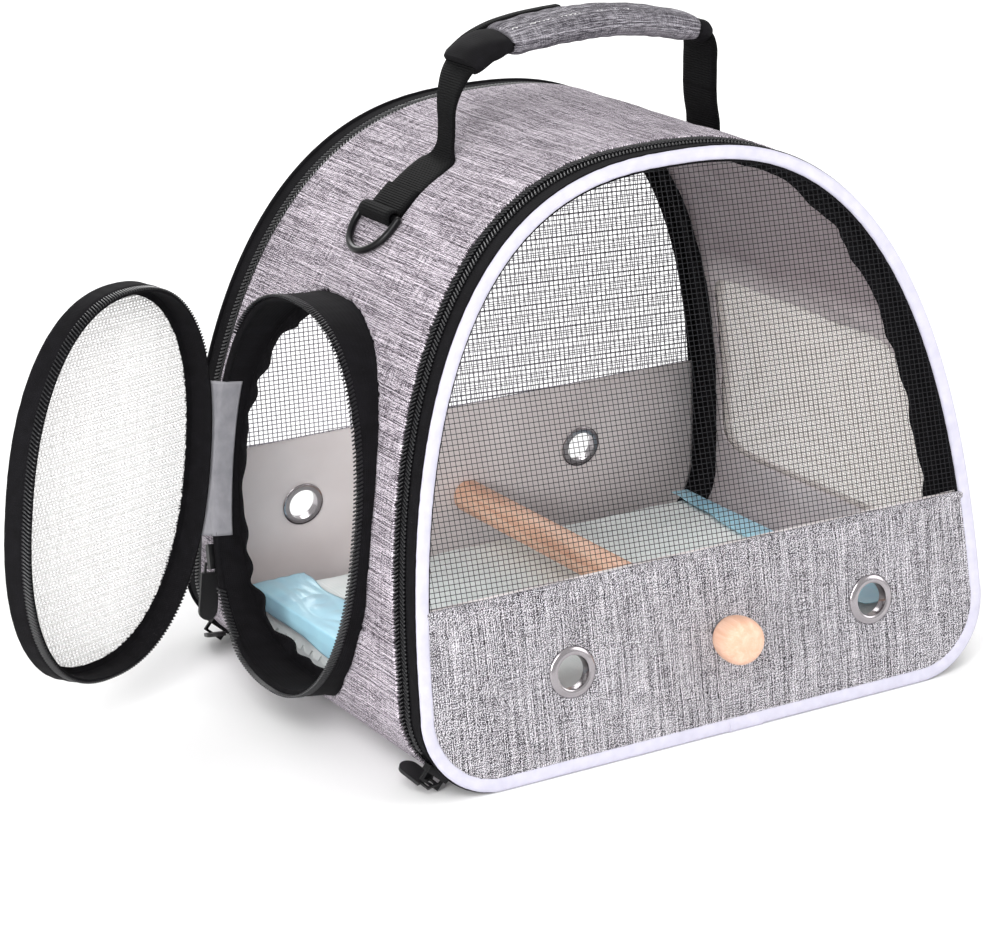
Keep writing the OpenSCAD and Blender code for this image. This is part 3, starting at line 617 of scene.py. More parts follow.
# Drops the faces inside a hole and moves the points of its rim onto the edge
def cutHole(points, faces, level, move):
    inside = level < 1
    quads = faces[~inside[faces].all(axis=1)]
    rim = np.unique(quads[inside[quads]])
    points[rim] = move(rim)
    used = np.unique(quads)
    index = np.full(len(points), -1)
    index[used] = np.arange(len(used))
    return points[used], index[quads], used


def ovalMove(points, level, local):
    def move(rim):
        target = local[rim].copy()
        target[:, :2] /= level[rim][:, None]
        shift = (target - local[rim]) @ doorAxes
        return points[rim] + shift
    return move


window = {"low": 50.0, "high": 141.0, "w": -26.5, "power": 9.0}


def windowLevel(points, grow=0.0):
    half = (window["high"] - window["low"]) / 2 + grow
    middle = (window["high"] + window["low"]) / 2
    halfY = -frontY(points[:, 2], window["w"]) + grow
    u = abs(points[:, 1]) / halfY
    v = abs(points[:, 2] - middle) / half
    level = (u ** window["power"] + v ** window["power"]) ** (1 / window["power"])
    level[points[:, 0] < 60] = farOutside
    return level, middle


def windowMove(points, level, middle):
    def move(rim):
        q = points[rim].copy()
        q[:, 1] /= level[rim]
        z = (q[:, 2] - middle) / level[rim] + middle
        q[:, 0] += np.interp(z, wallZ, wallX) - np.interp(q[:, 2], wallZ, wallX)
        q[:, 2] = z
        return q
    return move


wallHalf = outlinePoints[: len(outlinePoints) // 2]
wallOrder = np.argsort(wallHalf[:, 1])
wallZ, wallX = wallHalf[wallOrder, 1], wallHalf[wallOrder, 0]


# The whole tube as one grid, waved between its ends, with the doorway and the window cut out
def tube(name, inset, w, s, wave, holes):
    p = outline(inset)
    y = frontY(p[:, 1], w)[:, None] * (1 - 2 * np.linspace(0, 1, s["across"])[None, :])
    n, m = y.shape
    points = np.stack([np.repeat(p[:, :1], m, 1), y, np.repeat(p[:, 1:], m, 1)], -1)
    at, span = outlineAt[:, None], np.abs(y).max(1)[:, None]
    fade = np.clip((span - abs(y)) / 25, 0, 1) * np.clip((points[..., 2] - 6) / 30, 0, 1)
    bulge = wave(at, y, points) * fade
    normals = np.stack([outlineNormals[:, 0], 0 * outlineNormals[:, 0], outlineNormals[:, 1]], -1)[:, None, :]
    points = (points + normals * bulge[..., None]).reshape(-1, 3)
    uv = pairGrid(y + 150, at).reshape(-1, 2)
    faces = gridFaces(n, m, closeRows=True, flip=True)
    level, local = ovalLevel(points, holes[0])
    points, faces, used = cutHole(points, faces, level, ovalMove(points, level, local))
    uv = uv[used]
    level, middle = windowLevel(points, holes[1])
    points, faces, used = cutHole(points, faces, level, windowMove(points, level, middle))
    return meshObject(name, points, faces.tolist(), uv[used], 50.0)


def shellWave(at, y, points):
    soft = waves(shellSettings["seed"], at, y, shellSettings["waveLength"], 12)
    return shellSettings["wave"] * np.clip(soft, -1.6, 1.2) - 0.25


shell = tube("fabricTube", body["shellInset"] + 0.2, body["bindingEnd"] + 3.0, shellSettings, shellWave, (0.6, 0.0))
thicken(shell, shellSettings["thickness"])
finishPiece(shell, heather, "carrier", ["tunnel_shell"])

liningSettings = {"across": 90, "seed": 8, "thickness": 0.5}


# Loose cloth: long and fine folds, and on the right wall a hanging flap above the window
def liningWave(at, y, points):
    z = points[..., 2]
    long = waves(liningSettings["seed"], at, y * 0.45, 46.0, 10)
    fine = waves(liningSettings["seed"] + 1, at * 1.2, y, 17.0, 10)
    amount = np.clip((z - 20) / 60, 0, 1)
    right = np.clip((points[..., 0] - 40) / 50, 0, 1)
    drop = (z - 150 - 6.0 * np.sin(y / 45.0 + 0.6)) / 9.0
    flap = 4.2 * np.clip(1 - abs(drop - 0.4), 0, 1) ** 1.5 * np.where(drop < 0.4, 1.0, 0.75) * right
    return -(np.clip(long, -1, 2.4) * 1.1 + np.clip(fine, -1, 2) * 0.35 + 1.2) * amount - flap


inner = tube("liningTube", body["shellInset"] + 3.2, body["bindingEnd"] + 2.5, liningSettings, liningWave, (0.4, 0.3))
thicken(inner, liningSettings["thickness"])
finishPiece(inner, tubeLining, "carrier", ["tunnel_lining"])
print("tube done")

# Window net in the right wall: pale fine net, seen from inside
windowSettings = {"pitch": 1.35, "radius": 0.3, "inset": 2.3, "under": 2.0, "count": 40}


def windowNet(s):
    lines = []
    low, high, w = window["low"] - s["under"], window["high"] + s["under"], window["w"] + s["under"]
    for z in np.arange(low, high, s["pitch"]):
        y = np.linspace(frontY(z, w), -frontY(z, w), s["count"])
        x = np.interp(z, wallZ, wallX) - s["inset"] + 0.25 * np.sin(y * 2 + z)
        lines.append(np.c_[x, y, np.full(s["count"], z)])
    edge = frontY(window["low"], w)
    for y in np.arange(edge, -edge, s["pitch"]):
        z = np.linspace(low, high, s["count"])
        z = z[abs(y) < -frontY(z, w)]
        if len(z) > 3:
            lines.append(np.c_[np.interp(z, wallZ, wallX) - s["inset"] - 0.1, np.full(len(z), y), z])
    return lines


sideNet = threadNet("sideWindowNet", windowNet(windowSettings), windowSettings["radius"], warmThread, 4)
finishPiece(sideNet, warmThread, "carrier", ["side_window_net"])


# End panels

bindingProfile = [(5.2, -15.3), (1.1, -15.0), (0.9, -16.0), (0.9, -18.2), (0.7, -19.1), (-0.3, -19.5), (-0.6, -20.3),
                  (-0.3, -21.1), (0.8, -21.5), (5.0, -21.3), (5.6, -20.4), (5.6, -16.6)]
ringSettings = {"ripple": 0.16, "rippleLength": 5.0, "seed": 21}


# A seeded ripple that closes on itself round an outline
def ripple(at, around, seed, length, count=10):
    rng = np.random.default_rng(seed)
    total = 0 * at
    for _ in range(count):
        k = round(around / (length * rng.uniform(0.7, 2.0)))
        total = total + np.sin(2 * math.pi * k * at / around + rng.uniform(0, 6.28))
    return total / math.sqrt(count)


def bothEnds(front, material, owners, replaced=(), rearMaterial=None):
    rear = mirroredCopy(front, front.name.removesuffix("Front") + "Rear")
    finishPiece(front, material, owners[0], replaced[:1])
    finishPiece(rear, rearMaterial or material, owners[1], replaced[1:])


wobble = ripple(outlineAt, outlineLength, ringSettings["seed"], ringSettings["rippleLength"]) * ringSettings["ripple"]
# Owners of the front and the rear copy
onBody, onPanels = ("carrier", "carrier"), ("front_panel", "rear_panel")


# A band all round an end, or round a part of it, from its profile of insets and depths
def endLoop(name, profile, ring=endRing, rough=(0.0, 0.0), partOf=None):
    rings = [ring(i + rough[0] * wobble, w + rough[1] * wobble) for i, w in profile]
    return loopObject(name, rings, outlineAt, True, 50, partOf)


binding = endLoop("bindingFront", bindingProfile, rough=(0.25, 1.0))
bothEnds(binding, blackTape, onBody, ["front_binding", "rear_binding"])

# The zip: two woven tapes, and on each the loops of a nylon coil 1.7 mm apart
zipSettings = {"pitch": 1.7, "loopWidth": 1.2, "loopHeight": 1.5, "reach": 4.6, "slant": 0.5, "sides": 8}


def coilItem(name, s, turn):
    rows = [(-0.5, 0.72, 0.80), (-0.44, 1.0, 1.0), (-0.3, 0.92, 0.96), (0.1, 0.72, 0.86), (0.42, 0.66, 0.8),
            (0.5, 0.45, 0.55)]
    q = np.arange(s["sides"]) / s["sides"] * 2 * math.pi
    points = [[s["loopWidth"] / 2 * a * math.cos(t), y * s["reach"], s["loopHeight"] / 2 * b * math.sin(t)]
              for y, a, b in rows for t in q]
    faces = gridFaces(len(rows), s["sides"], closeColumns=True, flip=True).tolist() + endCaps(len(rows), s["sides"])
    piece = meshObject(name, points, faces, None, 0)
    piece.data.transform(Matrix.Rotation(turn, 4, "Z"))
    return piece


coil = coilItem("coilLoop", zipSettings, zipSettings["slant"])
coilBack = coilItem("coilLoopBack", zipSettings, math.pi - zipSettings["slant"])


def endCoil(name, w, inset, low, shift, item, panel, owners, replaced):
    line, side = arcLine(inset, w, low, shift, panel)
    made = alongLines(name + "Front", [line], [side], item, zipSettings["pitch"], coilPlastic)
    bothEnds(made, coilPlastic, owners, replaced)


bodyTapeProfile = [(1.2, -15.9), (1.2, -14.9), (1.9, -14.6), (1.9, -13.3), (2.5, -13.3), (2.6, -15.9)]
bothEnds(endLoop("zipTapeFront", bodyTapeProfile, partOf=ringPart(1.0, 5.0)), blackTape, onBody)
endCoil("coilBody", -16.95, 0.1, 5.5, 0.0, coil, False, onBody, ["front_zip_body", "rear_zip_body"])
endCoil("coilPanel", -12.25, 0.5, 18.5, 0.85, coilBack, False, onPanels, ["front_zip_panel", "rear_zip_panel"])

panelTapeProfile = [(1.9, -12.9), (1.3, -12.7), (1.2, -10.6), (0.75, -10.0), (0.7, -6.0), (0.45, -3.2), (0.7, -0.8),
                    (2.0, -0.7), (2.1, -6.0), (2.6, -10.6), (2.6, -12.7)]
panelTape = endLoop("panelTapeFront", panelTapeProfile, partOf=ringPart(0.9, 18.0))
bothEnds(panelTape, blackTape, onPanels, ["front_zip_band", "rear_zip_band"])

# Cloth corners below the ends of the zip
cornerProfile = [(1.6, -16.2), (1.3, -9.0), (1.5, -5.0), (2.2, -5.0), (2.0, -9.0), (2.2, -16.2)]
for name, side in (("Right", 1), ("Left", -1)):
    part = np.flatnonzero((outlinePoints[:, 1] < 19) & (side * outlinePoints[:, 0] > 104))
    bothEnds(endLoop("corner" + name, cornerProfile, partOf=part), blackTape, onBody)

# Piping with its edge cord, a black strip between the piping and the net that paints the shade of the groove there, and
# the overlapped joint of the piping at the foot
trimProfile = [(2.7, -1.8), (2.6, -0.6), (0.3, -0.6), (-0.05, -0.3), (-0.15, 0.2), (0.1, 0.8), (0.8, 1.3), (1.7, 1.5),
               (3.2, 1.5), (4.5, 1.35), (5.3, 0.9), (5.6, 0.3), (5.6, -0.6), (5.0, -1.8)]
jointProfile = [(3.0, -0.6), (-0.1, -0.75), (-0.45, -0.1), (-0.2, 1.0), (0.7, 1.6), (1.7, 1.8), (2.9, 1.8), (4.0, 1.65),
                (4.9, 1.1), (5.1, -0.3)]
edgeProfiles = {"trimEdgeFront": [(0.6, -1.9), (-0.45, -1.7), (-0.7, -1.2), (-0.5, -0.7), (0.6, -0.5)],
                # Painted shade: the second strip is black tape laid where the net meets the piping, for the dark shade
                # line there
                "netSelvedgeFront": [(4.8, -1.7), (4.8, -0.35), (6.5, -0.45), (6.7, -0.9), (6.5, -1.5)]}
trimRing = endLoop("trimFront", trimProfile, panelRing, (0.25, 0.25))
bothEnds(trimRing, whitePiping, onPanels, ["front_trim", "rear_trim"], blackTape)
for name, profile in edgeProfiles.items():
    bothEnds(endLoop(name, profile, panelRing), blackTape, onPanels)
jointPart = np.flatnonzero((outlinePoints[:, 1] < 1) & (outlinePoints[:, 0] > 4) & (outlinePoints[:, 0] < 22))
finishPiece(endLoop("trimJoint", jointProfile, panelRing, partOf=jointPart), whitePiping, "front_panel")
print("rings done")

# Net of the end panels, of black threads; the rear net's threads are painted pale grey, painted light for the bright
# look of that net against the light behind it: two runs of threads, each with its angle and spacing
netSettings = {"Front": 0.15, "Rear": 0.24, "runs": ((-2.5, 2.166), (94.1, 2.351)), "bulge": 1.2, "edge": 3.6}
panelSettings = {"step": 2.0, "puff": 1.3, "seed": 5, "hole": 7.6, "edge": 4.0, "columns": 134, "footHalf": 104,
                 "cloth": 1.2, "lining": 0.5,
                 "Front": {"top": 79.4, "holes": (-69.0, 81.0), "holeHeight": 42.0},
                 "Rear": {"top": 88.4, "holes": (-81.0, 69.0), "holeHeight": 56.0}}


# Where a line enters and leaves a polygon
def clipLine(origin, direction, polygon):
    a, b = polygon, np.roll(polygon, -1, axis=0)
    edge = b - a
    cross = direction[0] * edge[:, 1] - direction[1] * edge[:, 0]
    cross = np.where(abs(cross) < 1e-9, 1e-9, cross)
    rel = a - origin
    t = (rel[:, 0] * edge[:, 1] - rel[:, 1] * edge[:, 0]) / cross
    u = (rel[:, 0] * direction[1] - rel[:, 1] * direction[0]) / cross
    hit = np.sort(t[(u >= 0) & (u < 1)])
    return (hit[0], hit[-1]) if len(hit) > 1 else None


def flatThreads(polygon, runs, step=7.0):
    lines = []
    reach = np.abs(polygon).max() * 1.5
    middle = polygon.mean(axis=0)
    for turn, pitch in runs:
        q = math.radians(turn)
        direction = np.array([math.cos(q), math.sin(q)])
        normal = np.array([-direction[1], direction[0]])
        for k in np.arange(-reach, reach, pitch):
            origin = middle + normal * k
            ends = clipLine(origin, direction, polygon)
            if ends and ends[1] - ends[0] > 1.5:
                t = np.linspace(ends[0], ends[1], max(3, int((ends[1] - ends[0]) / step)))
                lines.append(origin + t[:, None] * direction)
    return lines


def panelBulge(x, v):
    r = np.clip((abs(x) / 132) ** 2.4 + (abs(v - 128) / 118) ** 2.4, 0, 1)
    return (1 - r) ** 0.7


def endNet(s, low):
    p = outline(s["edge"])
    polygon = np.c_[p[:, 0], p[:, 1] / leanCos]
    keep = polygon[:, 1] > low
    polygon = polygon[keep][::3]
    cut = np.interp(low, wallZ / leanCos, wallX) - s["edge"]
    polygon = np.r_[[[cut, low]], polygon, [[-cut, low]]]
    lines = []
    for line in flatThreads(polygon, s["runs"]):
        w = -0.75 + s["bulge"] * panelBulge(line[:, 0], line[:, 1]) * 0.5
        lines.append(planePoint(line[:, 0], line[:, 1], w))
    return lines


# Lower panels: padded cloth, drawn in round the eyelets and along the seam under the net, or the lining behind it
def lowerPanel(name, s, end, outer, low):
    p = outline(s["edge"] + (0 if outer else 1.0))
    half = p[:len(p) // 2]
    half = half[np.argsort(half[:, 1])]
    top = end["top"] + (0 if outer else 1.5)
    vs = np.append(np.arange(p[:, 1].min() / leanCos, top - 0.5, s["step"]), top)
    reach = np.interp(vs * leanCos, half[:, 1], half[:, 0])
    reach[0] = s["footHalf"]
    flat = pairGrid(reach[:, None] * np.linspace(-1, 1, s["columns"])[None, :], vs[:, None]).reshape(-1, 2)
    faces = gridFaces(len(vs), s["columns"])
    centres = [np.array([h, end["holeHeight"] / leanCos]) for h in end["holes"]]
    for centre in centres:
        level = np.linalg.norm(flat - centre, axis=1) / s["hole"]
        flat, faces, _ = cutHole(flat, faces, level, lambda rim: centre + (flat[rim] - centre) / level[rim][:, None])
    wide = np.interp(flat[:, 1] * leanCos, half[:, 1], half[:, 0])
    edge = np.minimum(wide - abs(flat[:, 0]), np.minimum(flat[:, 1] - 5, top - flat[:, 1]))
    puff = 1 - np.exp(-np.clip(edge, 0, 60) / 9)
    for centre in centres:
        gap = np.linalg.norm(flat - centre, axis=1)
        puff = puff * (1 - np.exp(-np.clip(gap - s["hole"] - 3.4, 0, 60) / 7))
    soft = waves(s["seed"], flat[:, 0], flat[:, 1], 46.0, 9)
    folds = waves(s["seed"] + 2, flat[:, 0], flat[:, 1] * 0.25, 52.0, 8)
    lift = s["puff"] * puff * (0.75 + 0.25 * soft) if outer else -puff * (0.8 + np.clip(folds, -0.7, 2) * 0.9)
    points = planePoint(flat[:, 0], flat[:, 1], low + lift)
    return meshObject(name, points, faces.tolist(), flat + 200, 50.0)


# A bar with capped ends; its profile is given across and up
def barAlong(points, profile, up, across, name, flip=False):
    rings = np.stack([points + up * b + across * a for a, b in profile], 1)
    uv = pairGrid(arcLength(points)[:, None], arcLength(np.array(profile))[None, :])
    return meshObject(name, rings, cappedFaces(*rings.shape[:2], flip), uv, 50.0)


# A turned body from radii and heights along its axis; a profile that ends where it starts is a ring
def lathe(profile, place, axis, name, count=64):
    axis = np.array(axis, float) / np.linalg.norm(axis)
    first = np.cross(axis, [0, 0, 1.0])
    first /= np.linalg.norm(first)
    second = np.cross(axis, first)
    q = np.arange(count) / count * 2 * math.pi
    circle = np.cos(q)[:, None] * first + np.sin(q)[:, None] * second
    rings = np.stack([np.array(place) + circle * r + axis * h for r, h in profile], 1)
    closed = profile[0] == profile[-1]
    if closed:
        rings = rings[:, :-1]
    m = rings.shape[1]
    faces = gridFaces(count, m, closeRows=True, closeColumns=closed).tolist()
    uv = pairGrid(q[:, None] * max(r for r, _ in profile), np.arange(m)[None, :] * 1.0)
    return meshObject(name, rings, faces, uv, 40.0)


eyeletProfile = [(7.2, -2.9), (7.1, -1.0), (7.1, 1.0), (7.4, 1.8), (8.2, 2.2), (9.2, 2.1), (10.3, 1.7), (10.9, 1.25),
                 (11.0, 1.0), (10.9, 0.6), (8.0, 0.4), (8.0, -2.1), (10.0, -2.1), (10.2, -2.4), (9.9, -2.7),
                 (9.0, -2.9), (7.2, -2.9)]
hemProfile = [(-1.8, -0.7), (-1.9, 0.6), (-0.6, 1.2), (0.8, 1.1), (1.4, 0.2), (1.2, -0.7)]
seamUp = np.array([0, leanSin, leanCos])
seamOut = np.array([0, -leanCos, leanSin])


def placed(piece, end, material, replaced=()):
    if end == "Rear":
        mirror(piece)
    return finishPiece(piece, material, end.lower() + "_panel", replaced)


def paintCad(material, *nodes):
    for node in nodes:
        for holder in bpy.data.objects[node].material_slots:
            holder.material = material


for end in ("Front", "Rear"):
    side, s = end.lower(), panelSettings[end]
    paint = netThread if end == "Front" else rearThreadPaintedLight
    net = threadNet("endNet" + end, endNet(netSettings, s["top"] - 1.9), netSettings[end], paint, 4)
    placed(net, end, paint, [side + "_net"])
    outerSkin = thicken(lowerPanel("lowerPanel" + end, panelSettings, s, True, 0.45), panelSettings["cloth"])
    placed(outerSkin, end, heatherPanel, [side + "_lower_panel"])
    innerSkin = thicken(lowerPanel("panelLining" + end, panelSettings, s, False, -1.25), panelSettings["lining"])
    placed(innerSkin, end, lining)
    seamX = np.linspace(-1, 1, 120) * (np.interp(s["top"] - 0.4, wallZ, wallX) - 4.4)
    seamLine = planePoint(seamX, s["top"] - 0.2 + 0 * seamX, 0.35 + 0 * seamX)
    placed(barAlong(seamLine, hemProfile, seamOut, seamUp, "panelHem" + end), end, heatherPanel)
    for name, x in zip(("Left", "Right"), s["holes"]):
        eyelet = lathe(eyeletProfile, planePoint(x, s["holeHeight"] / leanCos, 0.0), seamOut, "eyelet" + end + name)
        placed(eyelet, end, nickel, [side + "_eyelet_" + name.lower()])
print("panels done")

# Perch from the panel's lining to its rounded free end, and its turned knob
perchSettings = {"radius": 7.75, "end": 108.55, "knobFoot": -114.587, "rows": 20}
perchStart = frontY(body["perchHeight"], -2.05)
perchLength = perchSettings["end"] - perchStart
perchRadius, rows = perchSettings["radius"], perchSettings["rows"]
profile = [(0.01, 0.3), (6.9, 0.3), (7.6, 0.7), (perchRadius, 1.4)]
profile += [(perchRadius, 1.4 + k * (perchLength - 3.2) / rows) for k in range(1, rows)]
profile += [(perchRadius, perchLength - 1.4), (7.5, perchLength - 0.5), (6.8, perchLength), (0.01, perchLength)]
perch = lathe(profile, (body["perchX"], perchStart, body["perchHeight"]), (0, 1, 0), "perchDowel")
finishPiece(perch, wood, "front_panel", ["perch"])
knobProfile = [(3.1, 9.8), (3.1, 0.2), (6.6, 0.0), (7.6, 0.4), (8.7, 1.8), (9.6, 4.0), (10.1, 6.6), (10.25, 9.0),
               (10.1, 11.2), (9.6, 13.2), (8.7, 14.7), (7.4, 15.6), (5.6, 16.0), (3.0, 16.1), (0.01, 16.1)]
knob = lathe(knobProfile, (body["perchX"], perchSettings["knobFoot"], body["perchHeight"]), (0, -1, 0), "turnedKnob")
finishPiece(knob, knobWood, "knob", ["perch_knob"])
paintCad(steel, "perch_stud", "knob_washer", "front_hoop", "rear_hoop")
paintCad(boardPlastic, "base_board")
print("perch done")

# Floor pad with its blue film

padSettings = {"halfX": 117.4, "halfY": 89.4, "low": 9.2, "high": 28.6, "seed": 12, "side": 5.2, "columns": (118, 84)}


def padTop(s):
    nx, ny = s["columns"]
    x = np.linspace(-s["halfX"], s["halfX"], nx)
    y = np.linspace(-s["halfY"], s["halfY"], ny)
    gx, gy = np.meshgrid(x, y, indexing="ij")
    edge = np.minimum(s["halfX"] - abs(gx), s["halfY"] - abs(gy))
    crown = 1 - np.exp(-np.clip(edge, 0, 99) / 3.0)
    quilt = waves(s["seed"], gx, gy, 40.0, 9) * 0.25
    top = s["low"] + s["side"] + (s["high"] - s["low"] - s["side"]) * crown + quilt * crown
    upper = np.stack([gx, gy, top], -1).reshape(-1, 3)
    lower = np.stack([gx, gy, np.full_like(gx, s["low"])], -1).reshape(-1, 3)
    faces = gridFaces(nx, ny).tolist()
    count = nx * ny
    faces += [[count + i for i in quad[::-1]] for quad in faces]
    rim = [i * ny for i in range(nx)] + [(nx - 1) * ny + j for j in range(1, ny)]
    rim += [i * ny + ny - 1 for i in range(nx - 2, -1, -1)] + list(range(ny - 2, 0, -1))
    faces += [[b, a, a + count, b + count] for a, b in zip(rim, rim[1:] + rim[:1])]
    uv = np.r_[upper[:, :2], lower[:, :2]] + 150
    piece = meshObject("floorPad", np.r_[upper, lower], faces, uv, 60.0)
    bevel = piece.modifiers.new("roundedEdge", "BEVEL")
    bevel.width, bevel.segments = 1.6 * mm, 3
    bevel.limit_method, bevel.angle_limit = "ANGLE", math.radians(60)
    return baked(piece)


pad = finishPiece(padTop(padSettings), padCloth, "carrier", ["floor_pad"])


# Film folded over each side: v runs from its free edge on the pad's side to its free edge on the pad's top
def filmStrip(name, s, start, end, inward, wide, hang, seed, flip):
    nu, nv = 180, 40
    u, v = np.meshgrid(np.linspace(0, 1, nu), np.linspace(0, 1, nv), indexing="ij")
    start, end = (np.array(corner) * (np.array([s["halfX"], s["halfY"]]) + 0.5) for corner in (start, end))
    length = np.linalg.norm(end - start)
    width = (wide[0] + (wide[1] - wide[0]) * u) * (1 + 0.05 * np.sin(u * 13 + seed) + 0.03 * np.sin(u * 31 + 2 * seed))
    drop = (hang[0] + (hang[1] - hang[0]) * u) * (1 + 0.08 * np.sin(u * 17 + seed))
    d = v * (drop + width) - drop
    ridge = np.abs(waves(seed, u * length * 0.5, d * 1.6, 40.0, 8)) * 0.45
    ridge = ridge + np.abs(waves(seed + 4, u * length, d, 22.0, 7)) * 0.2
    free = np.clip(d / 6, 0, 1)
    place = (start + (end - start) * u[..., None]
             + np.array(inward) * (np.clip(d, 0, None) - (0.5 + 0.4 * ridge) * np.clip(-d / 5, 0, 1))[..., None])
    z = s["high"] + 0.75 + ridge * free - np.clip(-d, 0, None)
    points = np.concatenate([place, z[..., None]], -1)
    steps = np.linalg.norm(np.diff(points, axis=1), axis=2).sum(1).mean()
    faces = gridFaces(nu, nv, flip=flip).tolist()
    piece = meshObject(name, points, faces, np.stack([u * length, d + 40], -1), 0)
    return thicken(piece, 0.12), (steps * mm, length * mm)


# Corners of the pad from which and to which a strip runs, its direction inward, and at both ends its width on the
# pad's top and down its side
filmSettings = {
    "Left": {"start": (-1, -1), "end": (-1, 1), "inward": (1, 0), "wide": (10, 28), "hang": (15, 7), "seed": 30,
             "flip": False},
    "Right": {"start": (1, -1), "end": (1, 1), "inward": (-1, 0), "wide": (24, 9), "hang": (6, 8), "seed": 31,
              "flip": True},
}
for name, s in filmSettings.items():
    strip, flat = filmStrip("film" + name, padSettings, **s)
    finishPiece(strip, blueFilm, "carrier", ["pad_film"])
print("pad done")


# Ruffled seam tapes inside the ends and the door

ruffleSettings = {"width": 6.6, "ruffle": 1.6, "ruffleLength": 14.0, "seed": 40, "thickness": 0.7}


# A strip in rows round an outline, thickened on both sides
def ruffleSheet(name, rings, at, width, thickness):
    rings = np.stack(rings, 1)
    faces = gridFaces(*rings.shape[:2], closeRows=True).tolist()
    uv = pairGrid(at[:, None], np.arange(rings.shape[1])[None, :] * width)
    return thicken(meshObject(name, rings, faces, uv, 0), thickness, 0)


def ruffledTape(name, s):
    wavy, wavy2 = (ripple(outlineAt, outlineLength, s["seed"] + k, s["ruffleLength"] * longer, 12)
                   for k, longer in ((0, 1.0), (1, 1.7)))
    low = np.clip((outline(5.6)[:, 1] - 9) / 20, 0, 1)
    rings = []
    for k in range(9):
        f = k / 8
        inset = 5.7 + f * (s["width"] - 3 + 0.7 * wavy2) * (0.45 + 0.55 * low) - 0.4
        w = -20.6 - f * 1.2 * low - wavy * s["ruffle"] * f * 0.55 * low
        rings.append(endRing(inset, w))
    return ruffleSheet(name, rings, outlineAt, s["width"] / 8, s["thickness"])


ruffle = ruffledTape("seamTapeFront", ruffleSettings)
bothEnds(ruffle, blackTape, onBody, ["front_seam_tape", "rear_seam_tape"])
# Flat tapes on which the end panels fold
foldX = np.linspace(-105, 105, 60)
foldLine = np.c_[foldX, frontY(0.6, -10.8) + 0 * foldX, 0.7 + 0 * foldX]
foldProfile = [(-4.9, -0.6), (-5.0, 0.3), (-4.0, 0.62), (4.0, 0.62), (5.0, 0.3), (4.9, -0.6)]
fold = barAlong(foldLine, foldProfile, np.array([0, 0, 1.0]), np.array([0, 1.0, 0]), "foldTapeFront", True)
bothEnds(fold, blackTape, onBody, ["front_fold_tape", "rear_fold_tape"])

# Door ring on the body

doorSettings = {"ripple": 0.14, "seed": 60, "wall": 2.0, "tapeColumns": 8, "tapeThickness": 0.8}
ovalWobble = ripple(ovalAt, ovalLength, doorSettings["seed"], 6.0) * doorSettings["ripple"]


# Level in the door's plane at which each line into the oval meets the wall
def wallDepth(inset, gap):
    ring = ovalPoints - inset * ovalNormals
    depth = np.zeros(len(ring))
    for k, (a, b) in enumerate(ring):
        low, high = -60.0, 20.0
        for _ in range(30):
            middle = (low + high) / 2
            p = doorPoint(np.array([a, b, middle]))
            wall = -np.interp(p[2], wallZ, wallX) + gap
            low, high = (middle, high) if p[0] > wall else (low, middle)
        depth[k] = low
    return depth


# The standing ring, flared where it meets the wall, with the cloth that binds its edge
depthAtWall = wallDepth(0.0, 4.5)
gussetRings = []
for f in np.linspace(0, 1, 12):
    flare = 0.9 * np.clip((0.35 - f) / 0.15, 0, 1)
    gussetRings.append(doorRing(-0.1 - flare + 0.15 * ovalWobble - 0.35 * math.sin(math.pi * f),
                                depthAtWall * (1 - f) + 0.25 * ovalWobble))
for f in np.linspace(1, 0, 12):
    gussetRings.append(doorRing(doorSettings["wall"], depthAtWall * (1 - f) + 0.25 * ovalWobble))
gusset = loopObject("doorGusset", gussetRings, ovalAt, False, 50)
finishPiece(gusset, blackTape, "carrier", ["door_gusset"])


def doorLoop(name, profile, rough=(0.0, 0.0), leaf=False):
    rings = [doorRing(i + rough[0] * ovalWobble, w + rough[1] * ovalWobble, leaf) for i, w in profile]
    return loopObject(name, rings, ovalAt, False, 50)


edgeProfile = [(0.5, -4.6), (0.5, -2.4), (0.6, -0.4), (1.0, 0.3), (1.8, 0.2), (2.5, -0.6), (2.4, -2.0)]
finishPiece(doorLoop("doorEdgeBinding", edgeProfile, (0.3, 1.0)), blackTape, "carrier")


def ovalCoil(name, inset, w, item, leaf, bodyName, node, limit, shift):
    keep = unbroken((ovalPoints[:, 0] >= 0) | (abs(ovalPoints[:, 1]) >= limit))
    if not leaf:
        # Drawn in behind the hanging pull
        inset = inset + 2.2 * np.clip((16 - abs(ovalPoints[:, 1] + 64)) / 6, 0, 1) * (ovalPoints[:, 0] < 0)
    ring = doorRing(inset, w, leaf)[keep]
    length = arcLength(ring)
    at = np.arange(shift, length[-1], 1.0)
    line = columnsAt(at, length, ring)
    side = columnsAt(at, length, doorRing(inset - 1, w, leaf)[keep] - ring)
    made = alongLines(name, [line], [side], item, zipSettings["pitch"], coilPlastic)
    finishPiece(made, coilPlastic, bodyName, [node])


ovalCoil("coilDoorBody", 0.2, 0.25, coil, False, "carrier", "door_zip_body", 58, 0.0)
ovalCoil("coilDoorLeaf", 0.7, 5.2, coilBack, True, "side_door", "door_zip_leaf", 48, 0.85)


def doorRuffle(s):
    wavy, wavy2 = (ripple(ovalAt, ovalLength, seed, length, 9) for seed, length in ((71, 15.0), (72, 22.0)))
    depth = wallDepth(s["wall"], 4.6)
    rings = []
    for k in range(s["tapeColumns"]):
        f = k / (s["tapeColumns"] - 1)
        rings.append(doorRing(1.5 + f * (5.8 + 1.6 * wavy2), depth - 0.4 + wavy * 1.3 * f + 0.6 * f))
    return ruffleSheet("doorSeamTape", rings, ovalAt, 0.9, s["tapeThickness"])


finishPiece(doorRuffle(doorSettings), blackTape, "carrier", ["door_seam_tape"])
print("door ring done")

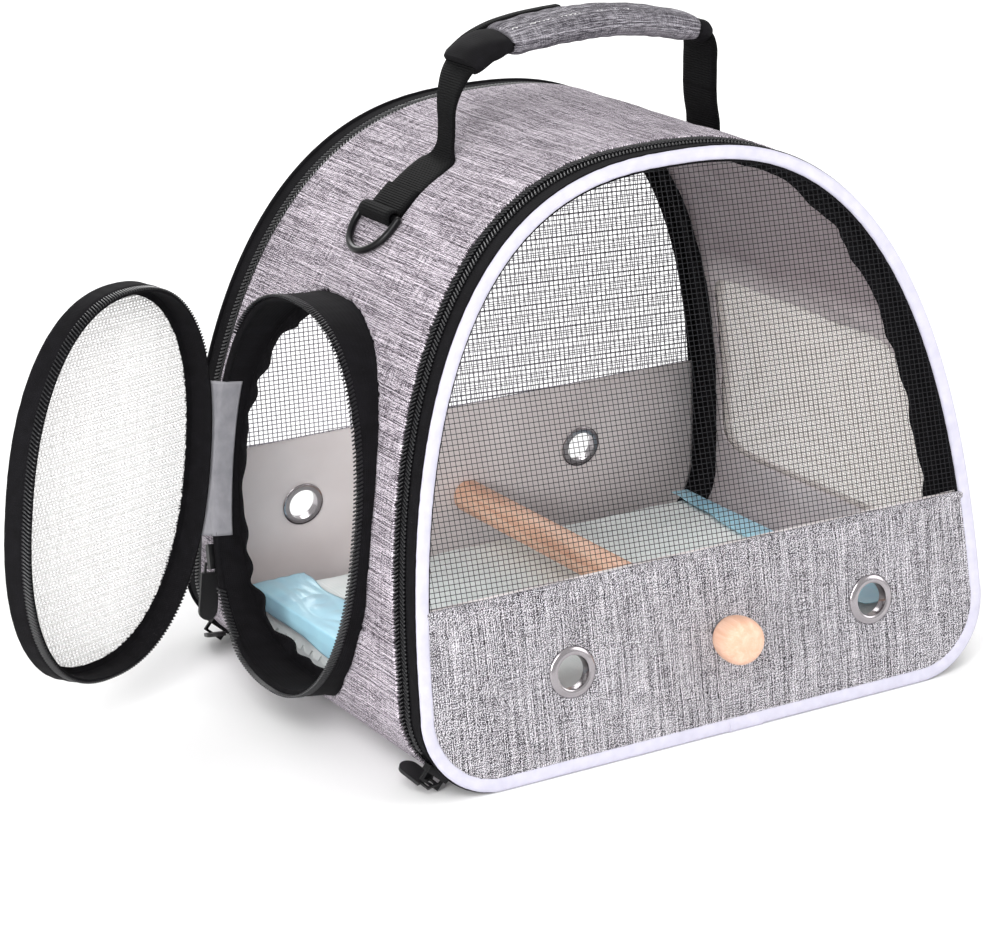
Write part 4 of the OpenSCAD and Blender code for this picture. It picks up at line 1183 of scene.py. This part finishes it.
# Door leaf
leafProfile = [(0.6, 6.6), (-0.1, 7.4), (-0.4, 8.8), (-0.35, 11.4), (-0.6, 13.4), (-0.7, 14.6), (-0.1, 15.5),
               (1.2, 16.0), (2.8, 16.0), (4.3, 15.6), (5.0, 14.9), (5.0, 14.0), (3.6, 13.8), (2.3, 13.2), (2.1, 10.0),
               (2.2, 6.8)]
leafRing = doorLoop("doorLeafBand", leafProfile, (0.35, 0.6), True)
finishPiece(leafRing, blackTape, "side_door", ["door_band", "door_piping"])
leafTape = doorLoop("doorLeafTape", [(1.2, 3.4), (1.1, 6.9), (2.3, 6.9), (2.2, 3.4)], leaf=True)
finishPiece(leafTape, blackTape, "side_door")

meshSettings = {"pitch": 2.45, "radius": 0.3, "level": 14.6, "inset": 3.2, "lap": 0.42 * 0.55, "lift": 0.18}


# Warp-knit mesh: pillars of loops with zigzag laps between them, leaving rounded holes
def knitNet(s):
    lines = []
    polygon = ovalPoints - s["inset"] * ovalNormals
    for x in np.arange(-70, 70, s["pitch"]):
        ends = clipLine(np.array([x, 0.0]), np.array([0.0, 1.0]), polygon)
        if not ends:
            continue
        t = np.arange(ends[0], ends[1], s["pitch"] / 4)
        if len(t) < 4:
            continue
        phase = t / s["pitch"] * math.pi
        lap, rise = s["lap"] * s["pitch"] * np.sin(phase), s["lift"] * np.cos(2 * phase)
        lines.append(np.c_[x + lap, t, s["level"] + rise])
        lines.append(np.c_[x - lap + s["pitch"] / 2, t, s["level"] - rise])
    for y in np.arange(-86, 86, s["pitch"] * 0.5):
        ends = clipLine(np.array([0.0, y]), np.array([1.0, 0.0]), polygon)
        if ends:
            t = np.arange(ends[0], ends[1], s["pitch"] / 2)
            if len(t) > 3:
                lines.append(np.c_[t, y + 0.12 * np.sin(t * 2.6), np.full(len(t), s["level"])])
    return [doorPoint(line, True) for line in lines]


knit = threadNet("doorMesh", knitNet(meshSettings), meshSettings["radius"], whiteThread, 4)
finishPiece(knit, whiteThread, "side_door", ["door_net"])
print("door leaf done")

# Hinge strip: grey cloth sewn inside the door ring, folded over its rim and across to the leaf
hingeSettings = {"halfLength": 35.0, "thickness": 0.5, "rows": 50, "columns": 36}
# Inset from the oval, level over its plane and whether the place is on the leaf
hingeKnots = ((2.5, -8.5, False), (2.5, -5.0, False), (2.5, -1.6, False), (2.2, 0.6, False), (1.2, 1.6, False),
              (0.6, 3.4, False), (0.4, 6.0, True), (0.2, 7.6, True))


def hingeStrip(s):
    v = np.linspace(-s["halfLength"], s["halfLength"], s["rows"])
    reach = door["halfY"] * (1 - (abs(v) / door["halfZ"]) ** door["power"]) ** (1 / door["power"])
    knots = [doorPoint(np.c_[inset - reach, v, np.full(s["rows"], level)], leaf) for inset, level, leaf in hingeKnots]
    t = np.linspace(0, len(knots) - 1, s["columns"])
    rows = np.array([columnsAt(t, range(len(knots)), row) for row in np.stack(knots, 1)])
    for _ in range(3):
        rows[:, 1:-1] = (rows[:, :-2] + 2 * rows[:, 1:-1] + rows[:, 2:]) / 4
    wide = np.linalg.norm(np.diff(rows, axis=1), axis=2).sum(1).mean()
    uv = pairGrid(v[:, None] + 100, (t * 4)[None, :])
    piece = meshObject("hingeStrip", rows, gridFaces(s["rows"], s["columns"], flip=True).tolist(), uv, 0)
    return thicken(piece, s["thickness"], 0), (wide * mm, 2 * s["halfLength"] * mm)


hinge, hingeFlat = hingeStrip(hingeSettings)
hinge.data.materials.append(hingeCloth)
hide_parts("door_hinge_strip")
fixedEnd, movedEnd = doorPoint([2.0 - door["halfY"], 0, 1.2]), doorPoint([0.5 - door["halfY"], 0, 6.2], True)
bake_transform(hinge)

# Webbing straps with their ring loops, and the carrying handle
# Places in the plane of the arch: bar is the ring's, leave is where the strap leaves the roof, foot is the handle's
strapSettings = {
    "width": 26.0, "thickness": 1.6, "step": 2.0,
    "Left": {"side": -1, "bar": (-90.012, 216.176), "leave": -60.0, "foot": -58.1,
             "riser": ((0.0, 251.0), (-0.3, 246.0), (-1.0, 241.5))},
    "Right": {"side": 1, "bar": (102.285, 201.319), "leave": 72.0, "foot": 70.1,
              "riser": ((0.0, 251.0), (0.3, 244.0), (1.4, 236.5))},
}


def smoothPath(knots, step=2.0):
    knots = np.array(knots, float)
    t = arcLength(knots)
    m = np.gradient(knots, t, axis=0)
    s = np.arange(0, t[-1] + step / 2, step)
    s[-1] = t[-1]
    k = np.clip(np.searchsorted(t, s, side="right") - 1, 0, len(t) - 2)
    h = (t[k + 1] - t[k])
    u = ((s - t[k]) / h)[:, None]
    h = h[:, None]
    return ((2 * u ** 3 - 3 * u ** 2 + 1) * knots[k] + (u ** 3 - 2 * u ** 2 + u) * h * m[k]
            + (3 * u ** 2 - 2 * u ** 3) * knots[k + 1] + (u ** 3 - u ** 2) * h * m[k + 1])


def upAlong(path):
    tangent = unit(np.gradient(path, axis=0))
    return np.stack([-tangent[:, 1], tangent[:, 0]], -1)


# Flat webbing along a path; pinch runs from 0, folded narrow, to 1, its full width
def webbingStrip(name, path, width, thickness, flip=False, pinch=1.0):
    up = upAlong(path)
    half, t, bevel = width / 2, thickness / 2, 0.6
    section = [(-half, -t * 0.4), (-half, t * 0.4), (-half + bevel, t), (half - bevel, t), (half, t * 0.4),
               (half, -t * 0.4), (half - bevel, -t), (-half + bevel, -t)]
    inner = [(-half + bevel + k * (width - 1.2) / 8, t) for k in range(1, 8)]
    section = section[:3] + inner + section[3:7] + [(a, -b) for a, b in inner[::-1]] + section[7:]
    pinch = np.broadcast_to(pinch, len(path))
    start, end = -half + 4 * (1 - pinch), half - 9 * (1 - pinch)
    rows = np.stack([np.stack([path[:, 0] + up[:, 0] * b, start + (a + half) / width * (end - start),
                               path[:, 1] + up[:, 1] * b], -1) for a, b in section], 1)
    across = np.array([a for a, _ in section])
    uv = pairGrid(across[None, :] + 50, arcLength(path)[:, None] + 20)
    return meshObject(name, rows, cappedFaces(*rows.shape[:2], flip), uv, 50.0)


def pinched(count, start, length):
    return 0.5 - 0.5 * np.cos(np.pi * np.clip((np.arange(count) * strapSettings["step"] - start) / length, 0, 1))


# The point over the arch at x, out from the cloth
def roofPoint(x, out):
    upper = outlinePoints[:, 1] > 120
    half, normal = outlinePoints[upper], outlineNormals[upper]
    order = np.argsort(half[:, 0])
    z = np.interp(x, half[order, 0], half[order, 1])
    n = np.array([np.interp(x, half[order, 0], normal[order, c]) for c in (0, 1)])
    return np.array([x, z]) + n / np.linalg.norm(n) * out


def strapPath(bar, leave, side):
    low = [roofPoint(x, 0.5) for x in np.linspace(leave, bar[0] * 0.985 - side * 2, 46)]
    start = low[-1] - np.array(bar)
    first, radius = math.atan2(start[1], start[0]), 3.2
    loop = [np.array(bar) + radius * np.array([math.cos(first - side * k), math.sin(first - side * k)])
            for k in np.linspace(0.5, 4.2, 12)]
    back = [roofPoint(x, 2.0) for x in np.linspace(bar[0] - side * 6, bar[0] - side * 13, 8)]
    return low, loop, back


def strapStrip(name, path, s, flip, pinch=1.0):
    return webbingStrip(name, path, s["width"], s["thickness"], flip, pinch)


for name in ("Left", "Right"):
    s = strapSettings[name]
    low, loop, back = strapPath(s["bar"], s["leave"], s["side"])
    path = smoothPath([[s["foot"] + x, z] for x, z in s["riser"]] + low[1::4], strapSettings["step"])
    # The left strap is folded narrow where it meets the handle
    pinch = pinched(len(path), 8, 12) if name == "Left" else 1.0
    strap = strapStrip("strap" + name, path, strapSettings, name == "Right", pinch)
    finishPiece(strap, webbing, "carrier", ["strap_" + name.lower()])
    ringLoop = strapStrip("strapLoop" + name, smoothPath([low[-3]] + loop[::2] + back, 1.5), strapSettings,
                          name == "Right")
    finishPiece(ringLoop, webbing, "carrier")
paintCad(blackMetal, "d_ring_left", "d_ring_right")

left, right = strapSettings["Left"]["foot"], strapSettings["Right"]["foot"]
gripKnots = [[-30, 282.2], [-6, 284.6], [18, 285.0], [42, 282.2], [62.5, 277.2]]
handlePath = smoothPath([[left, 249.5], [left + 0.3, 257], [left + 3, 265.5], [left + 9, 274.2], [left + 16.5, 279.1],
                         *gripKnots, [right - 1.4, 274.4], [right + 0.2, 270.5], [right + 0.3, 260], [right, 249.5]],
                        strapSettings["step"])
handle = strapStrip("handleWebbing", handlePath, strapSettings, True, pinched(len(handlePath), 0, 34))
finishPiece(handle, webbing, "handle", ["handle_webbing"])


# Soft tube round a path, narrower and flatter at its ends
def sleeve(name, path, width, height, seed, wrinkle, puff):
    up, length, sides = upAlong(path), arcLength(path), 40
    q = np.arange(sides) / sides * 2 * math.pi
    c, s = np.cos(q), np.sin(q)
    sx, sz = np.sign(c) * abs(c) ** 0.7, np.sign(s) * abs(s) ** 0.8
    n = len(path)
    ends = np.minimum(length, length[-1] - length)
    grow = 0.86 + 0.14 * np.clip(ends / 6, 0, 1) ** 0.5
    rows = []
    bend = waves(seed, length[:, None], (q * 8)[None, :], 15.0, 9) * wrinkle
    for k in range(n):
        a = (width / 2 * sx) * grow[k] + bend[k] * c
        b = (height / 2 * sz) * grow[k] * (1 + puff * math.sin(math.pi * k / (n - 1))) + bend[k] * s
        rows.append(np.stack([path[k, 0] + up[k, 0] * b, a, path[k, 1] + up[k, 1] * b], -1))
    uv = pairGrid(length[:, None] + 30, (q / 2 / math.pi * (width * 2 + height))[None, :])
    return meshObject(name, np.array(rows), cappedFaces(n, sides), uv, 60.0)


# Stuffed sleeve with a piped edge and a zigzag seam, and the wraps at its ends
gripSettings = {"width": 30.0, "height": 12.4, "seed": 90, "wrinkle": 0.2, "puff": 0.05, "step": 1.5, "stitch": 1.1,
                "seamY": -9.0, "seamWidth": 1.4, "threadRadius": 0.22}
gripPath = smoothPath(gripKnots, gripSettings["step"])
grip = sleeve("handleGrip", gripPath, *(gripSettings[k] for k in ("width", "height", "seed", "wrinkle", "puff")))
finishPiece(grip, heatherGrip, "handle", ["handle_grip"])
edgePath = smoothPath([[-48, 277.6], [-40, 283.0], [-30, 286.9], [-18, 289.2], [-4, 290.4], [6, 290.8]], 2.0)
gripEdge = webbingStrip("gripEdge", edgePath, 5.0, 1.6, True)
gripEdge.data.transform(Matrix.Translation((0, 11.8 * mm, 0)))
finishPiece(gripEdge, webbing, "handle")
# The seam's zigzag ends before the right half of the grip
zigzag = []
for k in range(int((gripPath[-1] - gripPath[0])[0] / gripSettings["stitch"])):
    x = gripPath[0][0] + 1.5 + k * gripSettings["stitch"]
    if x < 30:
        z = np.interp(x, gripPath[:, 0], gripPath[:, 1]) + 5.7
        zigzag.append([x, gripSettings["seamY"] + gripSettings["seamWidth"] * (k % 2), z])
seam = threadNet("gripSeam", [np.array(zigzag)], gripSettings["threadRadius"], whiteThread, 5)
finishPiece(seam, whiteThread, "handle")
for name, knots, step, seed, wrinkle in (
        ("Left", [[-49.1, 274.2], [-41.6, 279.1], [-30.6, 282.1]], 1.5, 91, 0.35),
        ("Right", [[63.0, 277.0], [66, 275.9], [68.7, 274.2]], 1.0, 92, 0.4)):
    wrap = sleeve("wrap" + name, smoothPath(knots, step), 29.0, 10.5, seed, wrinkle, 0.0)
    finishPiece(wrap, blackTape, "handle", ["grip_wrap_" + name.lower()])
print("handle done")

# Zip sliders and pulls keep their CAD shapes
paintCad(blackMetal, "front_slider", "rear_slider", "door_slider")
paintCad(tabRubber, "front_pull", "rear_pull", "door_pull")
for spare in (coil, coilBack):
    bpy.data.objects.remove(spare)

# Floor, lamps and an even white sky
bpy.ops.mesh.primitive_plane_add(size=8.0, location=(0, 0, -0.0004))
floor = bpy.context.object
floor.name = "studioFloor"
floorMaterial, floorTree, floorShader = newMaterial("studioFloorPaint", Roughness=0.9)
floorNoise = add(floorTree, "ShaderNodeTexNoise", Scale=3.0)
floorTree.links.new(ramp(floorTree, floorNoise.outputs[0], [(0.3, "#f4f4f4"), (0.7, "#fafafa")]),
                    floorShader.inputs["Base Color"])
floor.data.materials.append(floorMaterial)


def lamp(name, place, aim, size, power):
    data = bpy.data.lights.new(name, "AREA")
    data.shape, data.size, data.energy = "DISK", size, power
    light = linked(name, data)
    light.location = place
    light.rotation_euler = (Vector(aim) - Vector(place)).to_track_quat("-Z", "Y").to_euler()


lamp("keyLamp", (-1.1, -1.5, 1.7), (0, 0, 0.1), 1.2, 27)
lamp("fillLamp", (1.6, -1.2, 1.0), (0, 0, 0.12), 1.4, 16)
lamp("backLamp", (0.3, 1.7, 1.3), (0, 0, 0.12), 1.4, 22)
lamp("doorLamp", (-1.1, -0.75, 0.5), (-0.1, 0.02, 0.05), 0.4, 8)
world = bpy.data.worlds.new("softStudio")
world.use_nodes = True
background = world.node_tree.nodes["Background"]
background.inputs["Color"].default_value = srgb("#ffffff")
background.inputs["Strength"].default_value = 0.75
bpy.context.scene.world = world
bpy.context.scene.view_settings.view_transform = "Standard"
